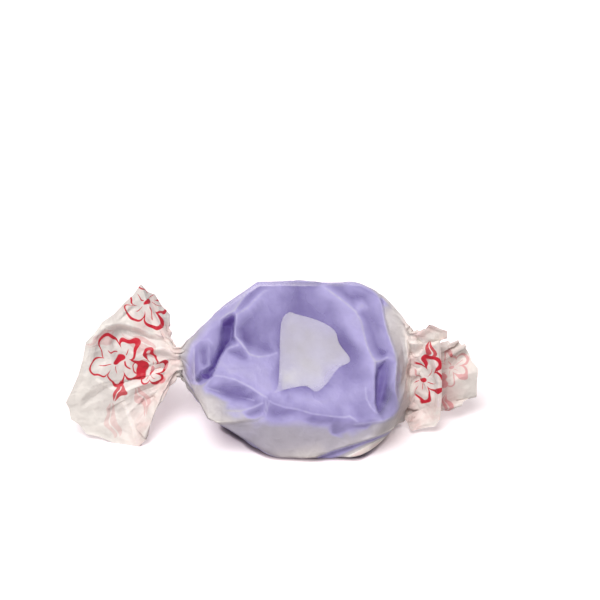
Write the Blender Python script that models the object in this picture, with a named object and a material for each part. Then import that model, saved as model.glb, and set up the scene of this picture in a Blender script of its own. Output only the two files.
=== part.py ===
"""A wrapped taffy: a pulled purple sweet with a white centre, in waxed paper twisted at both ends.

Sizes are in millimetres, and become metres when a mesh is made. X runs along the twist, -Y is the
side of the cut face, and Z is up from the surface that the sweet lies on.
"""

import math
from collections import namedtuple

import bmesh
import bpy
import numpy as np

MM = 0.001

# One guide line of a loft: where it runs round the section, its point at mid-length, how far left
# and right of the middle it keeps that point, and how round it then falls to the end.
Guide = namedtuple("Guide", "turn y z left right left_round right_round")

# The narrow section where a loft ends: its centre and its half depth and half height.
End = namedtuple("End", "x y z half_y half_z")

# Paper
PAPER_THICKNESS = 0.25
PAPER_GUIDES = [
    Guide(0.00, 6.8, 19.8, 5.2, 11.2, 0.95, 1.15),
    Guide(0.14, -0.9, 13.1, 12.4, 13.4, 2.2, 2.2),
    Guide(0.29, -8.7, 6.2, 11.2, 11.4, 1.0, 2.0),
    Guide(0.37, -8.9, 0.0, 1.2, 7.4, 1.5, 2.0),
    Guide(0.46, -1.5, 0.0, 8.0, 9.0, 1.8, 1.8),
    Guide(0.57, 5.8, 0.0, 7.6, 8.4, 1.8, 1.8),
    Guide(0.67, 10.9, 5.6, 8.6, 9.0, 1.8, 1.8),
    Guide(0.78, 11.3, 11.2, 7.8, 9.6, 1.5, 1.8),
    Guide(0.90, 9.9, 17.2, 5.4, 10.4, 1.05, 1.3),
]
LEFT_NECK = End(-16.2, 0.2, 10.4, 1.7, 1.9)
RIGHT_NECK = End(16.4, 0.3, 9.0, 1.5, 6.0)
NECK_LENGTH = 0.8
PLEAT_DEPTH = 0.16  # of the radius, at the neck
PLEAT_START = 0.62  # of the way from the middle to the neck

# Corners of the cut edges of the two twisted ends, from the top down the front and up the back.
LEFT_RIM = [
    (-20.0, 5.5, 19.2),
    (-22.2, 3.5, 20.9),
    (-26.8, 1.2, 17.0),
    (-30.0, -1.5, 12.6),
    (-32.4, -3.5, 5.9),
    (-29.5, -4.2, 1.2),
    (-22.4, -5.6, 0.3),
    (-23.5, -0.8, 1.6),
    (-28.0, 2.4, 8.0),
    (-24.0, 6.5, 15.0),
]
RIGHT_RIM = [
    (17.8, -0.4, 16.2),
    (19.6, -0.6, 17.2),
    (21.7, 0.2, 15.6),
    (21.0, -3.4, 9.0),
    (20.4, -3.8, 2.8),
    (16.4, -3.0, 1.6),
    (24.3, 1.4, 3.5),
    (26.1, 3.0, 8.1),
    (24.0, 3.9, 11.9),
    (19.4, 4.8, 12.0),
]
PLEAT_FOLD = 0.8  # how far the paper folds in between two corners of a rim
FOLD_ALONG_X = 0.4  # how much of that goes along the twist rather than across it
FLARE = 1.6  # how far a twisted end runs along X before it opens
BEND_PLACE = 0.3  # where on its way out a rib bends from X towards the rim

# Sweet
TAFFY_GUIDES = [
    Guide(0.00, 5.9, 18.7, 4.4, 9.8, 1.05, 1.5),
    Guide(0.14, -0.7, 12.5, 11.2, 12.0, 2.4, 2.4),
    Guide(0.29, -7.8, 6.1, 9.0, 10.0, 1.4, 2.2),
    Guide(0.37, -6.4, 2.6, 4.0, 7.0, 1.6, 2.0),
    Guide(0.46, -2.4, 0.9, 6.0, 7.4, 1.8, 2.0),
    Guide(0.57, 5.2, 0.9, 6.0, 7.0, 1.8, 2.0),
    Guide(0.67, 10.0, 5.9, 7.0, 7.6, 1.8, 2.0),
    Guide(0.78, 10.4, 11.0, 6.4, 8.2, 1.5, 1.8),
    Guide(0.90, 9.0, 16.3, 4.4, 9.0, 1.05, 1.6),
]
TAFFY_LEFT = End(-14.3, 0.6, 10.2, 2.6, 2.8)
TAFFY_RIGHT = End(13.9, 0.6, 9.6, 2.8, 3.4)
FACE_FOOT = (-7.8, 6.1)
FACE_SLOPE = math.radians(42.5)
CENTRE_GAP = 0.3

# Outline of the white centre on the cut face, as X and the height up the face from its foot.
CENTRE_OUTLINE = [
    (-2.2, 5.2),
    (-1.9, 13.4),
    (-0.9, 15.4),
    (0.4, 15.2),
    (3.6, 14.2),
    (5.7, 12.8),
    (6.4, 10.8),
    (7.9, 8.4),
    (6.2, 7.2),
    (4.6, 5.0),
    (3.1, 3.8),
    (1.6, 4.6),
    (-0.9, 4.2),
    (-3.0, 3.6),
]
CENTRE_REACH = 40.0

# Mesh
RIBS = 20
STEPS_PER_RIB = 3
AROUND = RIBS * STEPS_PER_RIB
BODY_RINGS = 23
FAN_RINGS = 7
TAFFY_RINGS = 15


def clear_scene():
    for item in list(bpy.data.objects):
        bpy.data.objects.remove(item, do_unlink=True)


def guide_values(guides, turn):
    """Every value of the guides at this part of a turn, straight between one guide and the next."""
    turns = [guide.turn for guide in guides] + [1.0]
    looped = guides + [guides[0]]
    return [np.interp(turn, turns, [guide[field] for guide in looped]) for field in range(1, 7)]


def end_point(end, turn):
    """A point of a loft's end section. A turn starts at the top and goes down the front first."""
    angle = math.tau * (0.25 + turn)
    return np.array([end.x, end.y + end.half_y * math.cos(angle), end.z + end.half_z * math.sin(angle)])


def loft_point(guides, ends, x, turn):
    """The loft's surface at x: full section near the middle, and rounding off to the nearer end."""
    y, z, left, right, left_round, right_round = guide_values(guides, turn)
    end, reach, roundness = (ends[0], left, left_round) if x < 0 else (ends[1], right, right_round)
    target = end_point(end, turn)
    gone = min(max((abs(x) - reach) / (abs(end.x) - reach), 0.0), 1.0)
    kept = 1.0 - gone**roundness
    point = target + (np.array([x, y, z]) - target) * kept
    point[0] = x
    return point


def stations(left_x, right_x, count):
    """X places from end to end, closer together near both ends, where the shape falls away."""
    middle = (left_x + right_x) / 2
    half = (right_x - left_x) / 2
    return [middle + half * math.sin(math.pi / 2 * (2 * i / (count - 1) - 1)) for i in range(count)]


def pleat(index):
    """One on a ridge of the pleats, zero in a valley, and straight between them."""
    place = (index / STEPS_PER_RIB) % 2
    return abs(1.0 - place)


def body_ring(x):
    end = LEFT_NECK if x < 0 else RIGHT_NECK
    near = min(max((abs(x) / abs(end.x) - PLEAT_START) / (1 - PLEAT_START), 0.0), 1.0)
    centre = np.array([x, end.y, end.z])
    ring = []
    for index in range(AROUND):
        point = loft_point(PAPER_GUIDES, (LEFT_NECK, RIGHT_NECK), x, index / AROUND)
        depth = PLEAT_DEPTH * near**2 * (1 - pleat(index))
        point = centre + (point - centre) * (1 - depth)
        point[2] = max(point[2], PAPER_THICKNESS)
        ring.append(point)
    return np.array(ring)


def rim_ring(corners):
    """The cut edge: the corners are ridges, and between two of them the paper folds inwards."""
    corners = np.array(corners)
    middle = corners.mean(axis=0)
    ribs = []
    for corner, following in zip(corners, np.roll(corners, -1, axis=0)):
        fold = (corner + following) / 2
        inwards = middle - fold
        inwards[0] *= FOLD_ALONG_X
        ribs += [corner, fold + inwards / np.linalg.norm(inwards) * PLEAT_FOLD]
    ribs = np.array(ribs)
    turned = np.vstack([ribs, ribs[:1]])
    places = np.arange(AROUND) / STEPS_PER_RIB
    return np.column_stack([np.interp(places, np.arange(RIBS + 1), turned[:, k]) for k in range(3)])


def fan_rings(neck, corners, outwards):
    """Rings from the neck to the rim, on ribs that leave along X and then spread."""
    rim = rim_ring(corners)
    along = np.array([outwards * FLARE, 0.0, 0.0])
    bend = neck + along + BEND_PLACE * (rim - neck)
    rings = []
    for step in range(1, FAN_RINGS + 1):
        t = step / FAN_RINGS
        rings.append((1 - t) ** 2 * neck + 2 * t * (1 - t) * bend + t**2 * rim)
    return rings


def wrapper_rings():
    body = [body_ring(x) for x in stations(LEFT_NECK.x, RIGHT_NECK.x, BODY_RINGS)]
    left_neck = body[0] + np.array([-NECK_LENGTH, 0.0, 0.0])
    right_neck = body[-1] + np.array([NECK_LENGTH, 0.0, 0.0])
    left = fan_rings(left_neck, LEFT_RIM, -1)[::-1]
    right = fan_rings(right_neck, RIGHT_RIM, 1)
    return left + [left_neck] + body + [right_neck] + right


def ring_faces(rings):
    faces = []
    for row in range(rings - 1):
        for index in range(AROUND):
            here = row * AROUND + index
            beside = row * AROUND + (index + 1) % AROUND
            faces.append((here, here + AROUND, beside + AROUND, beside))
    return faces


def new_object(name, points, faces, material):
    mesh = bpy.data.meshes.new(name)
    mesh.from_pydata([tuple(point * MM) for point in points], [], faces)
    made = bpy.data.objects.new(name, mesh)
    bpy.context.scene.collection.objects.link(made)
    mesh.materials.append(material)
    face_outwards(mesh)
    return made


def face_outwards(mesh):
    shape = bmesh.new()
    shape.from_mesh(mesh)
    bmesh.ops.recalc_face_normals(shape, faces=shape.faces)
    shape.to_mesh(mesh)
    shape.free()


def smooth(made, angle=35.0):
    made.data.shade_smooth()
    made.data.set_sharp_from_angle(angle=math.radians(angle))


def material(name, colour, roughness):
    made = bpy.data.materials.new(name)
    made.use_nodes = True
    shader = made.node_tree.nodes["Principled BSDF"]
    shader.inputs["Base Color"].default_value = (*colour, 1.0)
    shader.inputs["Roughness"].default_value = roughness
    shader.inputs["Metallic"].default_value = 0.0
    made.diffuse_color = (*colour, 1.0)
    return made


def make_wrapper(middle):
    """One sheet of waxed paper: a tube round the sweet, open at both twisted ends."""
    rings = wrapper_rings()
    points = np.vstack(rings) - middle
    paper = material("waxed_paper", (0.80, 0.76, 0.78), 0.42)
    wrapper = new_object("wrapper", points, ring_faces(len(rings)), paper)
    sheet = wrapper.modifiers.new("thickness", "SOLIDIFY")
    sheet.thickness = PAPER_THICKNESS * MM
    sheet.offset = -1.0
    smooth(wrapper)
    return wrapper


def closed_loft(guides, ends, count):
    rings = []
    for x in stations(ends[0].x, ends[1].x, count):
        rings.append([loft_point(guides, ends, x, index / AROUND) for index in range(AROUND)])
    points = np.array(rings).reshape(-1, 3)
    faces = ring_faces(count)
    faces.append(tuple(range(AROUND)))
    faces.append(tuple(range((count - 1) * AROUND, count * AROUND)))
    return points, faces


def face_point(x, up, out):
    """A point of the cut face's own frame: along X, up the face, and out of it."""
    y = FACE_FOOT[0] + up * math.cos(FACE_SLOPE) - out * math.sin(FACE_SLOPE)
    z = FACE_FOOT[1] + up * math.sin(FACE_SLOPE) + out * math.cos(FACE_SLOPE)
    return np.array([x, y, z])


def inset(outline, gap):
    """The outline moved inwards by the gap, each corner along its own bisector."""
    corners = np.array(outline)
    moved = []
    for index, corner in enumerate(corners):
        before = corner - corners[index - 1]
        after = corners[(index + 1) % len(corners)] - corner
        before = before / np.linalg.norm(before)
        after = after / np.linalg.norm(after)
        normal = np.array([before[1] + after[1], -before[0] - after[0]])
        moved.append(corner + normal / np.linalg.norm(normal) * gap)
    return moved


def make_prism(name, outline, middle, made_of):
    """A column through the sweet, square to its cut face."""
    count = len(outline)
    points = [face_point(x, up, CENTRE_REACH) for x, up in outline]
    points += [face_point(x, up, -CENTRE_REACH) for x, up in outline]
    faces = [(i, (i + 1) % count, count + (i + 1) % count, count + i) for i in range(count)]
    faces += [tuple(range(count)), tuple(range(count, 2 * count))]
    return new_object(name, np.array(points) - middle, faces, made_of)


def cut(target, tool, operation):
    boolean = target.modifiers.new(operation.lower(), "BOOLEAN")
    boolean.operation = operation
    boolean.object = tool
    boolean.solver = "EXACT"
    tool.hide_render = True
    tool.display_type = "WIRE"


def make_taffy(middle):
    points, faces = closed_loft(TAFFY_GUIDES, (TAFFY_LEFT, TAFFY_RIGHT), TAFFY_RINGS)
    purple = material("purple_taffy", (0.33, 0.26, 0.66), 0.45)
    white = material("white_taffy", (0.72, 0.68, 0.72), 0.5)
    taffy = new_object("taffy", points - middle, faces, purple)
    hole = make_prism("centre_hole", CENTRE_OUTLINE, middle, white)
    cut(taffy, hole, "DIFFERENCE")
    smooth(taffy)
    centre = new_object("taffy_centre", points - middle, faces, white)
    column = make_prism("centre_column", inset(CENTRE_OUTLINE, CENTRE_GAP), middle, white)
    cut(centre, column, "INTERSECT")
    smooth(centre)


def main():
    clear_scene()
    points = np.vstack(wrapper_rings())
    low, high = points.min(axis=0), points.max(axis=0)
    middle = np.array([(low[0] + high[0]) / 2, (low[1] + high[1]) / 2, 0.0])
    make_wrapper(middle)
    make_taffy(middle)


main()
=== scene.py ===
"""Looks of a wrapped taffy: the crumpled waxed paper, the purple taffy and its white centre.

Lengths are in millimetres, in the maker's own frame: X along the twist from the middle of the sweet,
-Y towards the viewer and Z up. They become metres, in the part's frame, when a mesh is made. Places in
the picture are pixels, right and down from its corner, in a frame 600 pixels wide.
"""

import math
from collections import namedtuple

import bmesh
import bpy
import numpy as np
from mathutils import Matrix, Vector
from mathutils.geometry import delaunay_2d_cdt


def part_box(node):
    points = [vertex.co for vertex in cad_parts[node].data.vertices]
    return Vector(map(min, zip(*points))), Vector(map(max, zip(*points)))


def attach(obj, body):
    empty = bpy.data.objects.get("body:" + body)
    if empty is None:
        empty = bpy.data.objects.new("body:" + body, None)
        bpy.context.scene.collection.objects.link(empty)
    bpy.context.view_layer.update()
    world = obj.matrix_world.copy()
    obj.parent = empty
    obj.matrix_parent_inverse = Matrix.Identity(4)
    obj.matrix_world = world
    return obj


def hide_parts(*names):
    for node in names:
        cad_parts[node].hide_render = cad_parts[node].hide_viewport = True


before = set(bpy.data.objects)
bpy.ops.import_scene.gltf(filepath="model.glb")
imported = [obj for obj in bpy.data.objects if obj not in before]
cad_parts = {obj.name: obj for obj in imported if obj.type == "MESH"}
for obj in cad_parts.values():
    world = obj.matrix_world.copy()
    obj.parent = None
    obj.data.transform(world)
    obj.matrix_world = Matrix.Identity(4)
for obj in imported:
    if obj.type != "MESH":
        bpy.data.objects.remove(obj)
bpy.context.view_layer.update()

MM = 0.001
SEED = 7

# One guide line of a loft: where it runs round the section, its point at mid-length, how far left
# and right of the middle it keeps that point, and how round it then falls to the end.
Guide = namedtuple("Guide", "turn y z left right left_round right_round")

# The narrow section where a loft ends: its centre and its half depth and half height. Where the half
# depth is below zero, the walls of the section cross, which closes the paper.
End = namedtuple("End", "x y z half_y half_z")

# A corner of a cut edge: its place in the picture, its Y, and how far the paper folds in after it.
Corner = namedtuple("Corner", "right down y fold")

# Random facets: about how wide they are, how far they stand out at most, and the seed of their draw
Facets = namedtuple("Facets", "size height seed")

# A motif of the print: the pixel where its middle shows, whether it is on the layer behind, how big it
# is, how far it is turned, a flower's petals, and how strong its ink is
Flower = namedtuple("Flower", "right down far size turn petals strength")
Leaf = namedtuple("Leaf", "right down far size turn strength")

# Paper round the sweet
PAPER_GUIDES = [
    Guide(0.00, 6.8, 19.8, 5.2, 6.5, 1.1, 2.0),
    Guide(0.14, -0.9, 13.1, 12.4, 13.4, 2.2, 2.2),
    Guide(0.29, -8.7, 6.2, 12.0, 12.2, 1.0, 2.2),
    Guide(0.37, -8.9, 0.0, 1.2, 7.6, 1.5, 2.0),
    Guide(0.46, -1.5, 0.0, 8.0, 9.4, 1.8, 1.9),
    Guide(0.57, 5.8, 0.0, 7.6, 8.4, 1.8, 1.8),
    Guide(0.67, 10.9, 5.6, 8.6, 9.0, 1.8, 1.8),
    Guide(0.78, 11.3, 11.2, 7.8, 9.6, 1.5, 1.8),
    Guide(0.90, 9.9, 17.2, 5.4, 9.0, 1.15, 1.6),
]
LEFT_NECK = End(-16.0, 0.2, 10.4, -0.2, 2.5)
RIGHT_NECK = End(16.4, 0.3, 8.3, -0.3, 7.2)
NECK_LENGTH = 0.8

LEFT_RIM = [
    Corner(169, 314, 5.0, 0.3),
    Corner(156, 294, 5.5, 0.3),
    Corner(141, 284, 4.5, 0.3),
    Corner(125, 302, 2.5, 0.3),
    Corner(102, 322, 0.5, 0.2),
    Corner(86, 342, -1.0, 0.2),
    Corner(78, 377, -2.5, 0.2),
    Corner(66, 403, -3.5, 0.3),
    Corner(71, 420, -4.0, 0.3),
    Corner(86, 434, -4.2, 0.2),
    Corner(111, 442, -4.8, 0.1),
    Corner(136, 447, -5.6, 0.1),
    Corner(146, 438, -5.6, 0.5),
    Corner(128, 425, -2.0, 0.8),
    Corner(98, 400, 0.0, 0.8),
    Corner(104, 360, 2.5, 0.8),
    Corner(124, 325, 4.5, 0.8),
    Corner(150, 305, 6.0, 0.5),
]
RIGHT_RIM = [
    Corner(419, 335, 0.5, 0.2),
    Corner(432, 324, 0.2, 0.1),
    Corner(447, 330, 0.8, 0.1),
    Corner(447, 338, 0.9, 0.3),
    Corner(441, 341, -0.8, 0.1),
    Corner(442, 368, -1.6, 0.1),
    Corner(441, 397, -1.9, 0.2),
    Corner(439, 420, -2.2, 0.1),
    Corner(435, 426, -2.5, 0.1),
    Corner(411, 430, -2.2, 0.2),
    Corner(406, 418, -1.2, 0.5),
    Corner(443, 407, 0.6, 0.3),
    Corner(452, 408, 2.0, 0.1),
    Corner(462, 404, 0.8, 0.1),
    Corner(476, 396, 2.2, 0.2),
    Corner(478, 368, 1.2, 0.3),
    Corner(468, 351, 3.4, 0.1),
    Corner(466, 345, 2.4, 0.2),
    Corner(458, 340, 4.0, 0.1),
    Corner(454, 347, 3.0, 0.1),
    Corner(448, 340, 4.6, 0.6),
    Corner(440, 352, 4.9, 0.8),
    Corner(428, 334, 4.4, 0.6),
]

# How many corners of each cut edge, from its first one, lie on the viewer's side of the fan, and over
# how much of a turn that side fades in and out
LEFT_NEAR = 12
RIGHT_NEAR = 10
NEAR_FADE_IN = 0.02
NEAR_FADE_OUT = 0.04

# A fan first leaves its neck straight, by the flare, and bends at this share of the way to its cut
# edge. The folds between the corners of that edge run mostly across the twist.
FLARE = 0.7
BEND_PLACE = 0.4
FOLD_ALONG = 0.4

# Sweet
TAFFY_GUIDES = [
    Guide(0.00, 6.4, 19.4, 5.0, 11.0, 1.1, 1.3),
    Guide(0.14, -0.9, 12.9, 12.0, 12.9, 2.3, 2.3),
    Guide(0.29, -8.3, 6.1, 9.4, 10.4, 1.4, 2.2),
    Guide(0.37, -6.4, 2.6, 4.0, 7.0, 1.6, 2.0),
    Guide(0.46, -2.4, 0.7, 6.0, 7.4, 1.8, 2.0),
    Guide(0.57, 5.2, 0.6, 6.4, 7.2, 1.8, 2.0),
    Guide(0.67, 10.3, 5.7, 7.4, 8.0, 1.8, 2.0),
    Guide(0.78, 10.8, 11.1, 6.9, 8.7, 1.5, 1.8),
    Guide(0.90, 9.4, 16.8, 4.8, 9.4, 1.1, 1.5),
]
TAFFY_LEFT = End(-14.0, 0.5, 10.2, 2.2, 2.6)
TAFFY_RIGHT = End(14.2, 0.5, 9.4, 2.2, 3.6)

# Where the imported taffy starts, at the left and in front, which ties this frame to the part's
PACKED_TAFFY_LEFT = -14.3
PACKED_TAFFY_FOOT = -7.8

# The cut face: the Y and Z of its foot, its slope, and how far that leans back from upright
FACE_FOOT = (-7.8, 6.1)
FACE_SLOPE = math.radians(42.5)
FACE_LEAN = math.pi / 2 - FACE_SLOPE

# The least room between the taffy and the paper
TOUCHING = 0.12

# Painted light: the taffy is paler low down on the cut face; the heights where that starts and is complete
PAINTED_LIGHT_ABOVE = 13.5
PAINTED_LIGHT_BELOW = 9.0

# The white centre's outline on the cut face: across from its middle, and up from its foot
CENTRE_OUTLINE = [
    (-2.2, 5.2),
    (-1.9, 13.4),
    (-0.9, 15.4),
    (0.4, 15.2),
    (3.6, 14.2),
    (5.7, 12.8),
    (6.4, 10.8),
    (7.9, 8.4),
    (6.2, 7.2),
    (4.6, 5.0),
    (3.1, 3.8),
    (1.6, 4.6),
    (-0.9, 4.2),
    (-3.0, 3.6),
]

# Points of the smooth outline for each one above, and how far the column that it draws through the
# sweet stands out of the cut face and runs in
OUTLINE_STEPS = 8
COLUMN_OUT = 20.0
COLUMN_IN = 40.0

# The picture: the size of its pixel at the sweet, and how the camera looks at it. What it can see
# starts and ends at the last two, in metres.
PIXEL = 0.142
LOOK_DOWN = math.radians(30.0)
CAMERA_AWAY = 400.0
AIM_HEIGHT = 10.0
AIM_PIXEL = (272, 362)
FRAME_PIXELS = 600
SENSOR = 36.0
NEAREST_SEEN = 0.01
FARTHEST_SEEN = 10.0

# The table: white where it is looked at, with a painted faint pink glow that shows in its shadows, and
# darker where it lights the sweet from below. A contact shadow is painted on it within the contact
# reach of the sweet, where the glow fades.
TABLE_WHITE = (0.97, 0.92, 0.93, 1.0)
TABLE_BOUNCE = (0.72, 0.69, 0.69, 1.0)
TABLE_PAINTED_GLOW_COLOUR = (1.0, 0.80, 0.84, 1.0)
TABLE_PAINTED_GLOW = 0.26
TABLE_ROUGHNESS = 0.6
PAINTED_CONTACT_SHADOW = (0.42, 0.34, 0.37, 1.0)
CONTACT_REACH = 0.9
CONTACT_EDGE = (0.4, 0.95)
CONTACT_RAYS = 8

# The table's half side, and how far it lies below the sweet, in metres
FLOOR_HALF = 1.5
FLOOR_GAP = 0.00002

# Soft lights: name, sides in metres, watts, and place in metres; and the even light of the room
LIGHTS = [
    ("soft_box", (0.6, 0.6), 12.0, (-0.20, -0.58, 0.98)),
    ("back_fill", (0.8, 0.5), 3.0, (0.25, 0.80, 0.30)),
]
ROOM_LIGHT = 0.26

# Mesh: columns round each section and rows along the twist. The paper's columns are closest together
# round the front turn, and the rows near both ends.
COLUMNS = 330
FRONT_CROWDING = 0.35
FRONT_TURN = 0.27
ROW_CROWDING = 0.45
LEFT_FAN_ROWS = 58
RIGHT_FAN_ROWS = 42
NECK_ROWS = 3
BODY_ROWS = 190
TAFFY_COLUMNS = 240
TAFFY_ROWS = 120

# Over how many columns to each side a section is evened out
PAPER_ROUNDING = 3
TAFFY_ROUNDING = 2

# What counts as nothing: in a share, and in a length or an area
TOLERANCE = 1e-6
SPECK = 1e-9
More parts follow.
